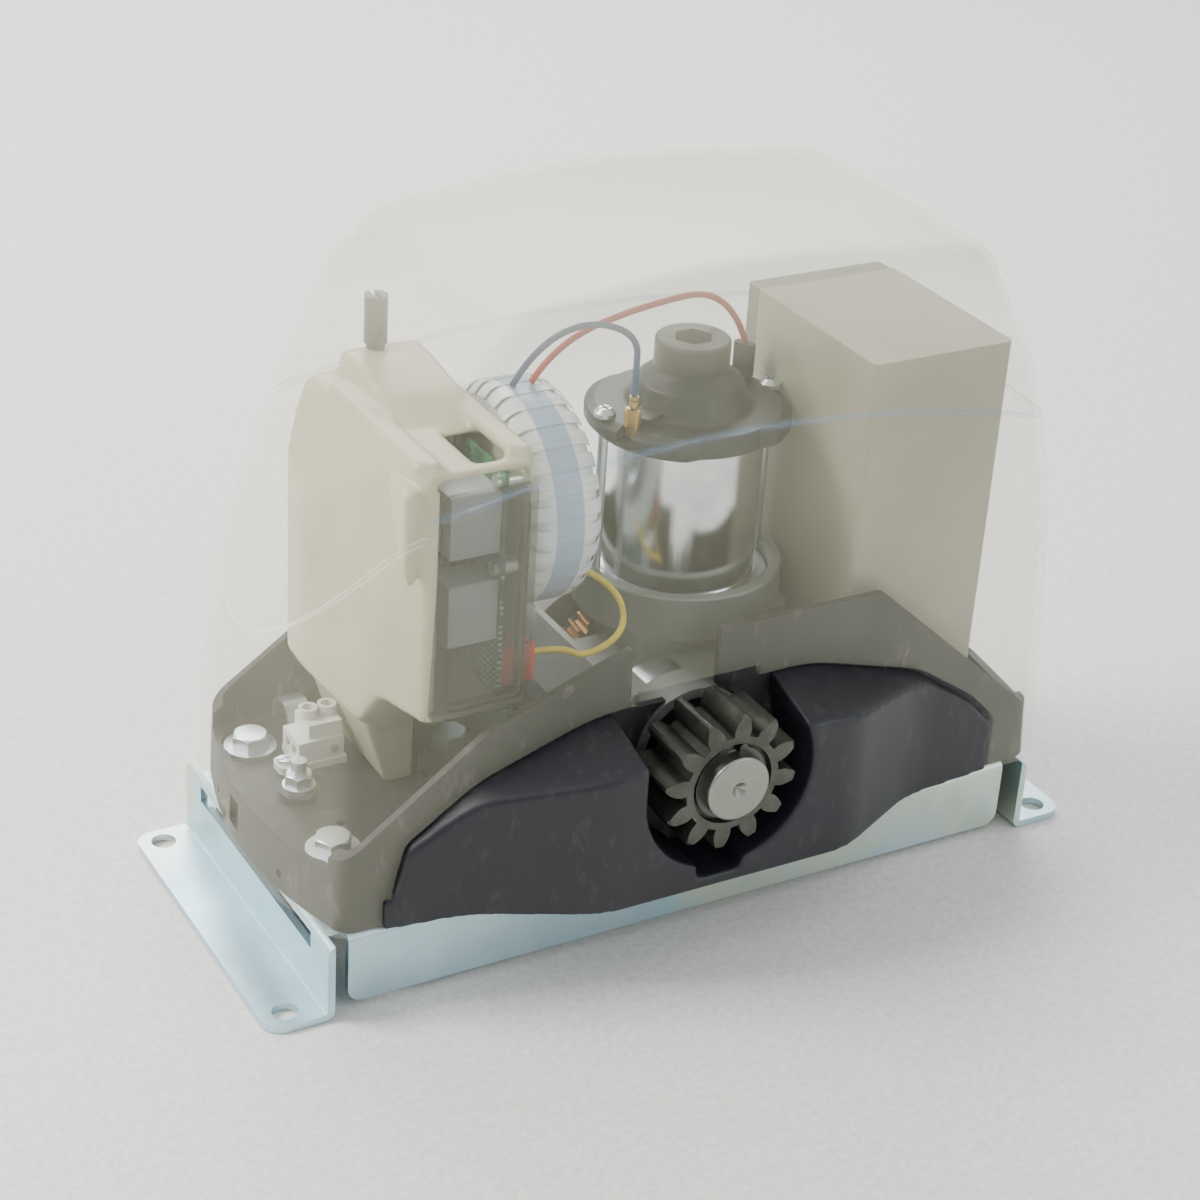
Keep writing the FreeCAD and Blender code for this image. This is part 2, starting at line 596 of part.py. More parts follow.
def spur_wire(module, teeth, shift, clearance, backlash, at, turn):
    """Involute outline in a plane y = at, about the origin, turned by an angle."""
    pressure = math.radians(20)
    pitch_r = module * teeth / 2
    base_r = pitch_r * math.cos(pressure)
    tip_r = pitch_r + module * (1 + shift)
    root_r = pitch_r - module * (1 + clearance - shift)
    thick = module * (math.pi / 2 + 2 * shift * math.tan(pressure)) - backlash
    at_pitch = thick / (2 * pitch_r)
    start_r = max(base_r * 1.002, root_r + 0.1 * module)

    def point(radius, angle):
        return Vector(radius * math.cos(angle), at, radius * math.sin(angle))

    edges = []
    step = 2 * math.pi / teeth
    for i in range(teeth):
        middle = turn + step * (i + 0.5)
        radii = (start_r, (start_r + tip_r) / 2, tip_r)
        angles = [tooth_half_angle(r, base_r, at_pitch, pressure) for r in radii]
        up = [point(r, middle - a) for r, a in zip(radii, angles)]
        down = [point(r, middle + a) for r, a in zip(radii, angles)][::-1]
        foot = point(root_r, middle - angles[0] * 1.04)
        last_foot = point(root_r, middle + angles[0] * 1.04)
        next_foot = point(root_r, middle + step - angles[0] * 1.04)
        edges.append(Part.LineSegment(foot, up[0]).toShape())
        edges.append(Part.Arc(*up).toShape())
        edges.append(Part.Arc(up[2], point(tip_r, middle), down[0]).toShape())
        edges.append(Part.Arc(*down).toShape())
        edges.append(Part.LineSegment(down[2], last_foot).toShape())
        edges.append(Part.Arc(last_foot, point(root_r, middle + step / 2), next_foot).toShape())
    return Part.Wire(edges)


def pinion():
    width = PINION_REAR - PINION_FRONT
    wire = spur_wire(PINION_MODULE, PINION_TEETH, PINION_SHIFT, 0.25, 0.1, PINION_FRONT, math.radians(8))
    gear = Part.Face(wire).extrude(Y * width)
    gear.translate(Vector(OUTPUT_X, 0, OUTPUT_Z))
    tip = PINION_MODULE * (PINION_TEETH / 2 + 1 + PINION_SHIFT)
    chamfer = turned([(0, PINION_FRONT), (tip - 1.2, PINION_FRONT), (tip + 0.4, PINION_FRONT + 1.6),
                      (tip + 0.4, PINION_REAR - 1.6), (tip - 1.2, PINION_REAR), (0, PINION_REAR)],
                     OUTPUT_X, 0, OUTPUT_Z, Y)
    gear = gear.common(chamfer)
    recess = rod(OUTPUT_X, PINION_FRONT - 1, OUTPUT_Z, RING_OUT_R + 0.8, 1 + RECESS_DEEP, Y)
    bore = rod(OUTPUT_X, PINION_FRONT - 1, OUTPUT_Z, SHAFT_R + 0.02, width + 2, Y)
    keyway = box(OUTPUT_X - KEY_W / 2, OUTPUT_X + KEY_W / 2, PINION_FRONT - 1, PINION_REAR + 1,
                 OUTPUT_Z, OUTPUT_Z + SHAFT_R + 2.2)
    return drilled(gear, [recess, bore, keyway])


def output_shaft():
    front, shoulder = SHAFT_FRONT, PINION_REAR + 0.2
    profile = [(0, front), (SHAFT_R, front, 1.2), (SHAFT_R, shoulder), (15.0, shoulder), (15.0, shoulder + 2.5),
               (SEAL_SHAFT_R, shoulder + 2.5), (SEAL_SHAFT_R, FRONT_BEARING_Y), (BEARING_SHAFT_R, FRONT_BEARING_Y),
               (BEARING_SHAFT_R, WHEEL_LOW_Y - 6), (WHEEL_SEAT_R, WHEEL_LOW_Y - 6),
               (WHEEL_SEAT_R, REAR_BEARING_Y - 4), (REAR_SHAFT_R, REAR_BEARING_Y - 4),
               (REAR_SHAFT_R, SHAFT_REAR, 0.8), (0, SHAFT_REAR)]
    shaft = turned(profile, OUTPUT_X, 0, OUTPUT_Z, Y)
    groove = tube(OUTPUT_X, PINION_FRONT + 1.2, OUTPUT_Z, SHAFT_R + 1, SHAFT_R - 0.7, RING_T + 0.1, Y)
    centre = Part.makeCone(3.2, 0.2, 3.0, Vector(OUTPUT_X, front, OUTPUT_Z), Y)
    front_key = key_block(PINION_FRONT + 4, PINION_REAR, SHAFT_R)
    wheel_key = key_block(WHEEL_LOW_Y, WHEEL_HIGH_Y + 4, WHEEL_SEAT_R)
    return drilled(shaft, [groove, centre, front_key, wheel_key])


def key_block(front, rear, radius):
    low = OUTPUT_Z + radius - KEY_DEEP
    return box(OUTPUT_X - KEY_W / 2, OUTPUT_X + KEY_W / 2, front, rear, low, low + 5.5)


def key_in(front, rear, radius):
    low = OUTPUT_Z + radius - KEY_DEEP
    return box(OUTPUT_X - KEY_W / 2 + 0.03, OUTPUT_X + KEY_W / 2 - 0.03, front + 0.1, rear - 0.1, low, low + 5.2)


def retaining_ring():
    """External ring in its groove, open at the top, with two eyes at its ends."""
    front = PINION_FRONT + 1.25
    ring = tube(OUTPUT_X, front, OUTPUT_Z, SHAFT_R + 1.9, SHAFT_R - 0.65, RING_T, Y)
    ring = ring.cut(box(OUTPUT_X - 3, OUTPUT_X + 3, front - 1, front + 3, OUTPUT_Z, OUTPUT_Z + 20))
    eyes = []
    for side in (-1, 1):
        angle = math.radians(90 + side * 18)
        x = OUTPUT_X + (SHAFT_R + 1.2) * math.cos(angle)
        z = OUTPUT_Z + (SHAFT_R + 1.2) * math.sin(angle)
        eyes.append(rod(x, front, z, 1.7, RING_T, Y))
    return joined([ring] + eyes)


def worm_wheel():
    """Teeth leaned by the worm's lead angle, on a hub keyed to the shaft."""
    pitch_r = WORM_MODULE * WHEEL_TEETH / 2
    lead = WORM_MODULE * math.pi / (2 * math.pi * WORM_PITCH_R)
    lean = WHEEL_FACE / 2 * lead / pitch_r
    half = math.pi / WHEEL_TEETH
    ends = [spur_wire(WORM_MODULE, WHEEL_TEETH, 0, 0.27, 0.1, at, -half + turn)
            for at, turn in ((WHEEL_LOW_Y, lean), (WHEEL_HIGH_Y, -lean))]
    rim = Part.makeLoft([wire_with_gap_at_x(w, half) for w in ends], True, True)
    rim.translate(Vector(OUTPUT_X, 0, OUTPUT_Z))
    web = turned([(13.5, WHEEL_LOW_Y), (17.0, WHEEL_LOW_Y), (16.4, WHEEL_LOW_Y + 2.5), (14.2, WHEEL_LOW_Y + 2.5)],
                 OUTPUT_X, 0, OUTPUT_Z, Y)
    hub = tube(OUTPUT_X, WHEEL_HIGH_Y - 0.5, OUTPUT_Z, 14, WHEEL_SEAT_R, 4.5, Y)
    gear = joined([rim.cut(web), hub])
    bore = rod(OUTPUT_X, WHEEL_LOW_Y - 1, OUTPUT_Z, WHEEL_SEAT_R + 0.02, WHEEL_FACE + 10, Y)
    keyway = box(OUTPUT_X - KEY_W / 2, OUTPUT_X + KEY_W / 2, WHEEL_LOW_Y - 1, WHEEL_HIGH_Y + 6,
                 OUTPUT_Z, OUTPUT_Z + WHEEL_SEAT_R + 2.0)
    return drilled(gear, [bore, keyway])


def wire_with_gap_at_x(wire, half):
    """Turn a tooth outline so that a gap, not a tooth, points along +X."""
    turned_wire = wire.copy()
    turned_wire.rotate(Vector(0, 0, 0), Y, math.degrees(-half))
    return turned_wire


def worm_shaft():
    """Right-hand thread on a shaft that runs up through the armature."""
    pitch = math.pi * WORM_MODULE
    root_r = WORM_PITCH_R - WORM_MODULE * 1.2
    tip_r = WORM_PITCH_R + WORM_MODULE
    slope = math.tan(math.radians(20))
    half_pitch = pitch / 4 - WORM_BACKLASH
    sink = 0.4
    turns = 7
    start = OUTPUT_Z - pitch * (turns // 2 + 0.5)

    def half_width(radius):
        return half_pitch + (WORM_PITCH_R - radius) * slope

    corners = [(r, z) for r, z in ((root_r - sink, -half_width(root_r - sink)), (tip_r, -half_width(tip_r)),
                                   (tip_r, half_width(tip_r)), (root_r - sink, half_width(root_r - sink)))]
    profile = rounded_wire([(r, z) for r, z in corners], lambda p: Vector(p.x, 0, p.y))
    spine = Part.Wire(Part.makeHelix(pitch, pitch * turns, WORM_PITCH_R))
    thread = spine.makePipeShell([profile], True, True)
    thread.translate(Vector(MOTOR_X, MOTOR_Y, start))
    low = start - 4
    core = turned([(0, LOWER_BUSH_Z + 0.5), (WORM_TAIL_R, LOWER_BUSH_Z + 0.5, 0.8),
                   (WORM_TAIL_R, LOWER_BUSH_Z + LOWER_BUSH_L + 0.3), (root_r, LOWER_BUSH_Z + LOWER_BUSH_L + 0.3),
                   (root_r, UPPER_BEARING_Z - 3), (WORM_SHAFT_R + 1.5, UPPER_BEARING_Z - 3),
                   (WORM_SHAFT_R + 1.5, UPPER_BEARING_Z), (WORM_SHAFT_R, UPPER_BEARING_Z),
                   (WORM_SHAFT_R, CAN_LOW + 3), (5.0, CAN_LOW + 3),
                   (5.0, CAP_TOP - 8.5, 0.6), (0, CAP_TOP - 8.5)], MOTOR_X, MOTOR_Y, 0)
    return joined([core, thread])


# ---------------------------------------------------------------- motor
def motor_plate():
    plate = turned([(0, MOTOR_SEAT), (MOTOR_PLATE_R, MOTOR_SEAT), (MOTOR_PLATE_R, CAN_LOW, 1), (CAN_R - CAN_WALL - 0.4, CAN_LOW),
                    (CAN_R - CAN_WALL - 0.4, CAN_LOW + 3), (CAN_R - CAN_WALL - 4, CAN_LOW + 3),
                    (CAN_R - CAN_WALL - 6, CAN_LOW), (0, CAN_LOW)], MOTOR_X, MOTOR_Y, 0)
    plate = plate.cut(rod(MOTOR_X, MOTOR_Y, MOTOR_SEAT - 1, WORM_SHAFT_R + CLEAR, 20))
    for side in (-1, 1):
        plate = plate.cut(rod(MOTOR_X + side * TIE_SCREW_R, MOTOR_Y, MOTOR_SEAT - 1, 2 + CLEAR, 10))
    return plate


def motor_can():
    can = tube(MOTOR_X, MOTOR_Y, CAN_LOW, CAN_R, CAN_R - CAN_WALL, CAN_HEIGHT)
    rolls = [tube(MOTOR_X, MOTOR_Y, z, CAN_R + 0.8, CAN_R - 0.5, 1.6) for z in (CAN_LOW, CAN_TOP - 1.6)]
    return joined([can] + rolls)


def magnets():
    """Two arc magnets inside the can, front and rear, with gaps at the sides."""
    low, height = CORE_LOW - 4, CORE_HIGH - CORE_LOW + 8
    shell = tube(MOTOR_X, MOTOR_Y, low, CAN_R - CAN_WALL - 0.02, MAGNET_R, height)
    half_span = MAGNET_R * math.cos(math.radians(MAGNET_GAP_ANGLE))
    arcs = []
    for side in (-1, 1):
        across = sorted((side * MAGNET_R * math.sin(math.radians(MAGNET_GAP_ANGLE)), side * CAN_R))
        keep = box(-half_span, half_span, *across, low, low + height)
        keep.translate(Vector(MOTOR_X, MOTOR_Y, 0))
        arcs.append(shell.common(keep))
    return group(arcs)


def armature_core():
    core = tube(MOTOR_X, MOTOR_Y, CORE_LOW, ARMATURE_R, 5.02, CORE_HIGH - CORE_LOW)
    for i in range(10):
        angle = 36 * i
        slot = box(13, ARMATURE_R + 1, -1.2, 1.2, CORE_LOW - 1, CORE_HIGH + 1)
        pocket = rod(15.5, 0, CORE_LOW - 1, 3.2, CORE_HIGH - CORE_LOW + 2)
        for tool in (slot, pocket):
            tool.rotate(Vector(0, 0, 0), Z, angle)
            tool.translate(Vector(MOTOR_X, MOTOR_Y, 0))
            core = core.cut(tool)
    return core


def armature_windings():
    lower = turned([(8, CORE_LOW - 7, 2), (18, CORE_LOW - 8, 3), (21, CORE_LOW - 0.02, 0.5), (7, CORE_LOW - 0.02, 0.5)],
                   MOTOR_X, MOTOR_Y, 0)
    upper = turned([(8, CORE_HIGH + 7, 2), (7, CORE_HIGH + 0.02, 0.5), (21, CORE_HIGH + 0.02, 0.5), (18, CORE_HIGH + 8, 3)],
                   MOTOR_X, MOTOR_Y, 0)
    coils = [lower, upper]
    for i in range(10):
        coil = rod(15.5, 0, CORE_LOW - 1, 2.9, CORE_HIGH - CORE_LOW + 2)
        coil.rotate(Vector(0, 0, 0), Z, 36 * i)
        coil.translate(Vector(MOTOR_X, MOTOR_Y, 0))
        coils.append(coil)
    return joined(coils)


def commutator():
    ring = tube(MOTOR_X, MOTOR_Y, COMMUTATOR_Z, COMMUTATOR_R, 5.02, 15)
    lip = tube(MOTOR_X, MOTOR_Y, COMMUTATOR_Z - 2, COMMUTATOR_R + 1.5, 5.02, 2.5)
    ring = joined([ring, lip])
    for i in range(10):
        slit = box(COMMUTATOR_R - 1.5, COMMUTATOR_R + 3, -0.3, 0.3, COMMUTATOR_Z - 3, COMMUTATOR_Z + 16)
        slit.rotate(Vector(0, 0, 0), Z, 36 * i)
        slit.translate(Vector(MOTOR_X, MOTOR_Y, 0))
        ring = ring.cut(slit)
    return ring


def radial(solid, angle):
    """Swing a solid drawn along +X of the motor's axis round to an angle."""
    solid.rotate(Vector(0, 0, 0), Z, angle)
    solid.translate(Vector(MOTOR_X, MOTOR_Y, 0))
    return solid


def motor_end_cap():
    low, flange = CAN_TOP, CAN_TOP + CAP_FLANGE_T
    form = [(0, low), (CAP_R - 2.5, low), (CAP_R, low + 2.5, 1.5), (CAP_R, flange - 2, 1.5), (CAP_R - 4, flange, 1.5),
            (25, flange, 3), (21, CAP_TOP - 17, 3), (CAP_BOSS_R, CAP_TOP - 12, 2), (CAP_BOSS_R, CAP_TOP, 1.5),
            (0, CAP_TOP)]
    cap = turned(form, MOTOR_X, MOTOR_Y, 0)
    # the flange is waisted between its two screw ears
    waist = prism([(-CAP_R - 1, -16, 6), (-24, -33, 8), (24, -33, 8), (CAP_R + 1, -16, 6), (CAP_R + 1, 16, 6),
                   (24, 33, 8), (-24, 33, 8), (-CAP_R - 1, 16, 6)], "xy", low - 1, CAP_TOP + 1)
    disc = rod(0, 0, low - 1, 35.5, CAP_HEIGHT + 2)
    keep = waist.fuse(disc)
    keep.translate(Vector(MOTOR_X, MOTOR_Y, 0))
    cap = cap.common(keep)
    boxes = [radial(box(12, BLADE_R - 2.9, -BRUSH_W / 2 - 2.2, BRUSH_W / 2 + 2.2, flange - 3, BRUSH_Z + BRUSH_H / 2 + 3), a)
             for a in BRUSH_TILT]
    cap = joined([cap] + boxes)
    inside = turned([(0, low - 1), (CAN_R - CAN_WALL - 1, low - 1), (CAN_R - CAN_WALL - 1, low + 4),
                     (18, flange - 1), (14, BRUSH_Z + BRUSH_H / 2 + 1), (9, BRUSH_Z + BRUSH_H / 2 + 2.5),
                     (0, BRUSH_Z + BRUSH_H / 2 + 2.5)], MOTOR_X, MOTOR_Y, 0)
    tools = [inside,
             rod(MOTOR_X, MOTOR_Y, BRUSH_Z, TOP_BEARING_R, TOP_BEARING_Z + TOP_BEARING_W + 0.4 - BRUSH_Z),
             rod(MOTOR_X, MOTOR_Y, BRUSH_Z, 5.8, 40).common(box(0, 60, -60, 60, 0, CAP_TOP - 7.5)),
             hexagon(14, 12, MOTOR_X, MOTOR_Y, CAP_TOP - 7.6)]
    for angle in BRUSH_TILT:
        tools.append(radial(box(COMMUTATOR_R, 32, -BRUSH_W / 2 - 0.1, BRUSH_W / 2 + 0.1,
                                BRUSH_Z - BRUSH_H / 2 - 0.1, BRUSH_Z + BRUSH_H / 2 + 0.1), angle))
        tools.append(radial(box(31, 40, -1.6, 1.6, BRUSH_Z - 2.2, BRUSH_Z + 2.2), angle))
        tools.append(radial(box(34.2, 45, -3.6, 3.6, BRUSH_Z - 2.4, CAP_TOP), angle))
    for side in (-1, 1):
        tools.append(rod(MOTOR_X + side * TIE_SCREW_R, MOTOR_Y, low - 1, 2.2, 20))
    return drilled(cap, tools)


def motor_screws():
    """Two long screws outside the can, from the cap down into the seat ring."""
    seat = CAN_TOP + CAP_FLANGE_T
    low = MOTOR_SEAT - TIE_SCREW_DEEP
    screws = []
    for side in (-1, 1):
        x = MOTOR_X + side * TIE_SCREW_R
        head = turned([(0, 0), (4.3, 0), (4.3, 1.6), (2.4, 3.4), (0, 3.4)], x, MOTOR_Y, seat)
        shank = rod(x, MOTOR_Y, low, 2, seat - low + 1)
        cross = box(x - 2.4, x + 2.4, MOTOR_Y - 0.5, MOTOR_Y + 0.5, seat + 2, seat + 5)
        cross = cross.fuse(box(x - 0.5, x + 0.5, MOTOR_Y - 2.4, MOTOR_Y + 2.4, seat + 2, seat + 5))
        screws.append(joined([shank, head]).cut(cross))
    return group(screws)


def brushes():
    return group([radial(box(COMMUTATOR_R + 0.1, 20, -BRUSH_W / 2, BRUSH_W / 2,
                             BRUSH_Z - BRUSH_H / 2, BRUSH_Z + BRUSH_H / 2), a) for a in BRUSH_TILT])


def brush_springs():
    """Spring packs behind the brushes, drawn at their outer diameter."""
    packs = []
    for angle in BRUSH_TILT:
        rings = [rod(20.0 + 1.8 * i, 0, BRUSH_Z, 2.6, 1.0, X).cut(rod(19.0 + 1.8 * i, 0, BRUSH_Z, 1.7, 3.0, X))
                 for i in range(6)]
        links = [box(20.0, 30.0, 1.8, 2.5, BRUSH_Z - 0.5, BRUSH_Z + 0.5)]
        packs.append(radial(joined(rings + links), angle))
    return group(packs)


def brush_terminals():
    """Spade blades that stand up from the outer end of each brush box."""
    blades = []
    for angle in BRUSH_TILT:
        foot = box(30.2, BLADE_R, -1.5, 1.5, BRUSH_Z - 2, BRUSH_Z - 2 + BLADE_T)
        blade = box(BLADE_R - BLADE_T, BLADE_R, -3.1, 3.1, BRUSH_Z - 2, BRUSH_Z + 10)
        seat = box(30.2, 31.0, -1.5, 1.5, BRUSH_Z - 2, BRUSH_Z + 2)
        blades.append(radial(joined([foot, blade, seat]), angle))
    return group(blades)


# ---------------------------------------------------------------- pinion guard
def guard_arch(grow, back, front):
    """Arched elevation of the guard, leaned so that its top falls to the front."""
    low = PLATE_TOP - (5 if grow else 0)
    corners = [(GUARD_LEFT - grow, low), (GUARD_RIGHT + grow, low),
               (GUARD_RIGHT + grow, 58 + grow, 8), (126 + grow, 71 + grow, 8), (98, 90 + grow, 40),
               (45, GUARD_TOP + 1.5 + grow, 70), (-50, GUARD_TOP + grow, 90), (-100, 87 + grow, 60),
               (-128 - grow, 68 + grow, 8), (GUARD_LEFT + 5 - grow, 54 + grow, 8)]
    face = Part.Face(rounded_wire(corners, lambda p: Vector(p.x, back, p.y)))
    depth = back - front
    return face.extrude(Vector(0, -depth, 0 if grow else -depth * GUARD_DRAFT))


def pinion_guard():
    back = TRAY_FRONT
    thin = back - GUARD_THIN
    deep = back + 5
    front = GUARD_FRONT
    lens = [(GUARD_LEFT, deep), (GUARD_RIGHT, deep), (GUARD_RIGHT, thin, 1.5), (96, thin - 3.5, 60),
            (52, front, 34), (-58, front, 40), (-104, thin - 4, 60), (GUARD_LEFT, thin, 1.5)]
    block = prism(lens, "xy", PLATE_TOP, GUARD_TOP + 12)
    block = block.common(guard_arch(0, deep, front - 3).fuse(
        prism([(GUARD_LEFT, PLATE_TOP), (GUARD_RIGHT, PLATE_TOP), (GUARD_RIGHT, GUARD_SOLE, 3), (GUARD_LEFT, GUARD_SOLE, 3)],
              "xz", front - 3, deep)))
    # its back lies on the front wall of the tray
    block = block.cut(tray_form(0, PLATE_TOP - 5, GUARD_TOP + 20))
    well = rod(OUTPUT_X, front - 5, OUTPUT_Z, GUARD_WELL_R, deep - front + 6, Y)
    throat = box(OUTPUT_X - GUARD_WELL_R, OUTPUT_X + GUARD_WELL_R - 3, front - 5, deep + 1, OUTPUT_Z, 140)
    notch = box(OUTPUT_X - 12, OUTPUT_X + 8, front - 5, deep + 1, PLATE_TOP + 5, OUTPUT_Z)
    return drilled(block, [well, throat, notch])


# ---------------------------------------------------------------- cover
def below_ledge(extra):
    """Everything under the ledge: an arched top line that dips in a U at the left end."""
    left = Vector(-185, -90, 177 + extra)
    crown = Vector(5, -90, 209 + extra)
    right = Vector(195, -90, 177 + extra)
    edges = [Part.Arc(left, crown, right).toShape(),
             Part.LineSegment(right, Vector(195, -90, 0)).toShape(),
             Part.LineSegment(Vector(195, -90, 0), Vector(-185, -90, 0)).toShape(),
             Part.LineSegment(Vector(-185, -90, 0), left).toShape()]
    zone = Part.Face(Part.Wire(edges)).extrude(Y * 180)
    dip = [(-95, 230), (-95, 196 + extra), (-66, 193 + extra, 12), (-20, 150 + extra, 60),
           (26, 124 + extra, 16), (54, 128 + extra, 20), (54, 230)]
    return zone.cut(prism(dip, "yz", -190, -112))


def cover():
    outside = cover_form(0, COVER_EDGE_R)
    upper = cover_form(COVER_LEDGE, COVER_EDGE_R - COVER_LEDGE)
    inside = cover_form(COVER_WALL, COVER_EDGE_R - COVER_WALL)
    shell = upper.fuse(outside.common(below_ledge(0)))
    shell = shell.cut(inside).cut(box(-220, 220, -120, 120, PLATE_TOP - 1, COVER_FOOT))
    # opening in the front wall round the pinion guard
    window = guard_arch(TRIM_GAP, TRAY_FRONT + 2, GUARD_FRONT - 5)
    window = window.fuse(box(GUARD_LEFT - TRIM_GAP, GUARD_RIGHT + TRIM_GAP, GUARD_FRONT - 5, TRAY_FRONT + 2,
                             PLATE_TOP - 5, GUARD_SOLE + TRIM_GAP))
    throat = box(OUTPUT_X - GUARD_WELL_R + 8, OUTPUT_X + GUARD_WELL_R - 10, GUARD_FRONT - 5, TRAY_FRONT + 2,
                 OUTPUT_Z, PINION_CLEAR_TOP)
    shell = drilled(shell, [window, throat])
    # snap window in the left end
    return shell.cut(box(-180, -140, 8, 16, 40, 48))


# ---------------------------------------------------------------- battery
def battery_case():
    x0, y0, z0 = BATTERY_X, BATTERY_Y, BATTERY_DECK
    body = prism([(x0, y0, 2.5), (x0 + BATTERY_W, y0, 2.5), (x0 + BATTERY_W, y0 + BATTERY_D - BATTERY_LID),
                  (x0, y0 + BATTERY_D - BATTERY_LID)], "xy", z0, z0 + BATTERY_H)
    return body


def battery_lid():
    x0, z0 = BATTERY_X, BATTERY_DECK
    y0 = BATTERY_Y + BATTERY_D - BATTERY_LID
    lid = prism([(x0 + 0.6, y0), (x0 + BATTERY_W - 0.6, y0), (x0 + BATTERY_W - 0.6, y0 + BATTERY_LID - 2, 2),
                 (x0 + 0.6, y0 + BATTERY_LID - 2, 2)], "xy", z0 + 0.6, z0 + BATTERY_H - 0.6)
    plateau = box(x0 + 12, x0 + BATTERY_W - 12, y0 + BATTERY_LID - 3, y0 + BATTERY_LID, z0 + 25, z0 + BATTERY_H - 25)
    pockets = [box(x0 + 5, x0 + 18, y0 + BATTERY_LID - 5, y0 + BATTERY_LID + 1, z + z0, z + z0 + 14)
               for z in (8, BATTERY_H - 22)]
    return drilled(joined([lid, plateau]), pockets)


def battery_terminals():
    blades = []
    for z in (8, BATTERY_H - 22):
        y0 = BATTERY_Y + BATTERY_D - 5
        foot = box(BATTERY_X + 6, BATTERY_X + 16, y0, y0 + 0.8, BATTERY_DECK + z + 2, BATTERY_DECK + z + 12)
        blade = box(BATTERY_X + 6, BATTERY_X + 6.8, y0, y0 + 8, BATTERY_DECK + z + 4, BATTERY_DECK + z + 10.3)
        blades.append(joined([foot, blade]))
    return group(blades)


# ---------------------------------------------------------------- controller
def controller_housing():
    corners = [(BOX_RIGHT, BOX_FRONT, 3), (BOX_RIGHT, BOX_REAR, 4), (BOX_LEFT + 4, BOX_REAR, 12),
               (BOX_LEFT, 20, 40), (BOX_LEFT + 18, BOX_FRONT, 5)]
    low = TRAY_FLOOR
    body = prism(corners, "xy", low, BOX_TOP)
    side = [(BOX_RIGHT + 1, low), (BOX_RIGHT + 1, BOX_TOP, 1), (BOX_LEFT + 14, BOX_TOP, 9),
            (BOX_LEFT - 1, 166, 30), (BOX_LEFT - 1, 98), (BOX_LEFT + 14, 84), (BOX_LEFT + 24, low)]
    body = body.common(prism(side, "xz", BOX_FRONT - 1, BOX_REAR + 1))
    # the front overhangs the floor; a hollow leg stands on it at the rear
    body = body.cut(prism([(BOX_FRONT - 1, low - 1), (-6, low - 1), (-6, 78, 10), (-24, BOX_LOW, 10),
                           (BOX_FRONT - 1, BOX_LOW)], "yz", BOX_LEFT - 2, BOX_RIGHT + 2))
    body = body.cut(box(BOX_LEFT + 27, BOX_RIGHT - BOX_WALL, -6 + BOX_WALL, BOX_REAR - BOX_WALL,
                        low - 1, BOX_LOW - BOX_WALL))
    # the leg stays clear of the centre bolt
    body = body.cut(box(CENTRE_X - 17, BOX_RIGHT + 1, -8, CENTRE_Y + 16, low - 1, 84))
    # hollow behind the window
    hollow = [(BOX_RIGHT - BOX_WALL, BOX_FRONT - 1), (BOX_RIGHT - BOX_WALL, BOX_REAR - BOX_WALL),
              (BOX_LEFT + 8, BOX_REAR - BOX_WALL, 8), (BOX_LEFT + 5, 20, 30), (BOX_LEFT + 22, BOX_FRONT - 1)]
    inner = prism(hollow, "xy", BOX_LOW + BOX_WALL, BOX_TOP - 3)
    inner = inner.common(prism([(BOX_RIGHT, 90), (BOX_RIGHT, 210), (BOX_LEFT + 22, 210, 5), (BOX_LEFT + 3, 160, 20),
                                (BOX_LEFT + 3, 90)], "xz", BOX_FRONT - 2, BOX_REAR))
    body = body.cut(inner)
    # hatch over the front of the board, and the two rails along the top
    body = body.cut(box(BOX_RIGHT - 22, BOX_RIGHT - 4, BOX_FRONT + 6, -8, BOX_TOP - 5, BOX_TOP + 1))
    rails = [prism([(BOX_FRONT + 1, BOX_TOP - 1), (BOX_REAR - 14, BOX_TOP - 1), (BOX_REAR - 17, BOX_TOP + 3.5, 1),
                    (BOX_FRONT + 4, BOX_TOP + 3.5, 1)], "yz", x, x + 4) for x in (BOX_LEFT + 20, BOX_RIGHT - 4)]
    body = joined([body] + rails)
    body = body.cut(box(BOX_RIGHT - 5, BOX_RIGHT + 1, PLUG_Y0 - 0.5, PLUG_Y1 + 0.5, PLUG_Z0 - 0.5, PLUG_Z1 + 0.5))
    body = body.cut(rod(BOX_RIGHT - 5, COIL_Y, COIL_Z, 4, 10, X))
    return body.cut(rod(POST_X, POST_Y, BOX_TOP - 6, POST_R - 1.9, 10))


def controller_window():
    """Smoked front with a short return on its left side."""
    front = BOX_FRONT
    left, right = BOX_LEFT + 19, BOX_RIGHT
    panel = prism([(left, BOX_LOW + 1, 4), (right, BOX_LOW + 1, 4), (right, BOX_TOP - 8, 4), (left + 4, BOX_TOP - 8, 4)],
                  "xz", front - 2.5, front)
    lip = prism([(left + 5, BOX_LOW + 6, 3), (right - 4, BOX_LOW + 6, 3), (right - 4, BOX_TOP - 13, 3),
                 (left + 9, BOX_TOP - 13, 3)], "xz", front - 4.5, front - 2.4)
    hollow = prism([(left + 7, BOX_LOW + 8, 2), (right - 6, BOX_LOW + 8, 2), (right - 6, BOX_TOP - 15, 2),
                    (left + 11, BOX_TOP - 15, 2)], "xz", front - 3.3, front + 1)
    return joined([panel, lip]).cut(hollow)


def control_board():
    board = box(BOARD_X, BOARD_X + BOARD_T, BOX_FRONT + 3, BOX_REAR - 6, BOX_LOW + 3.5, BOX_TOP - 5)
    holes = [rod(BOARD_X - 1, y, z, 1.8, 4, X) for y, z in BOARD_SCREWS]
    return drilled(board, holes)


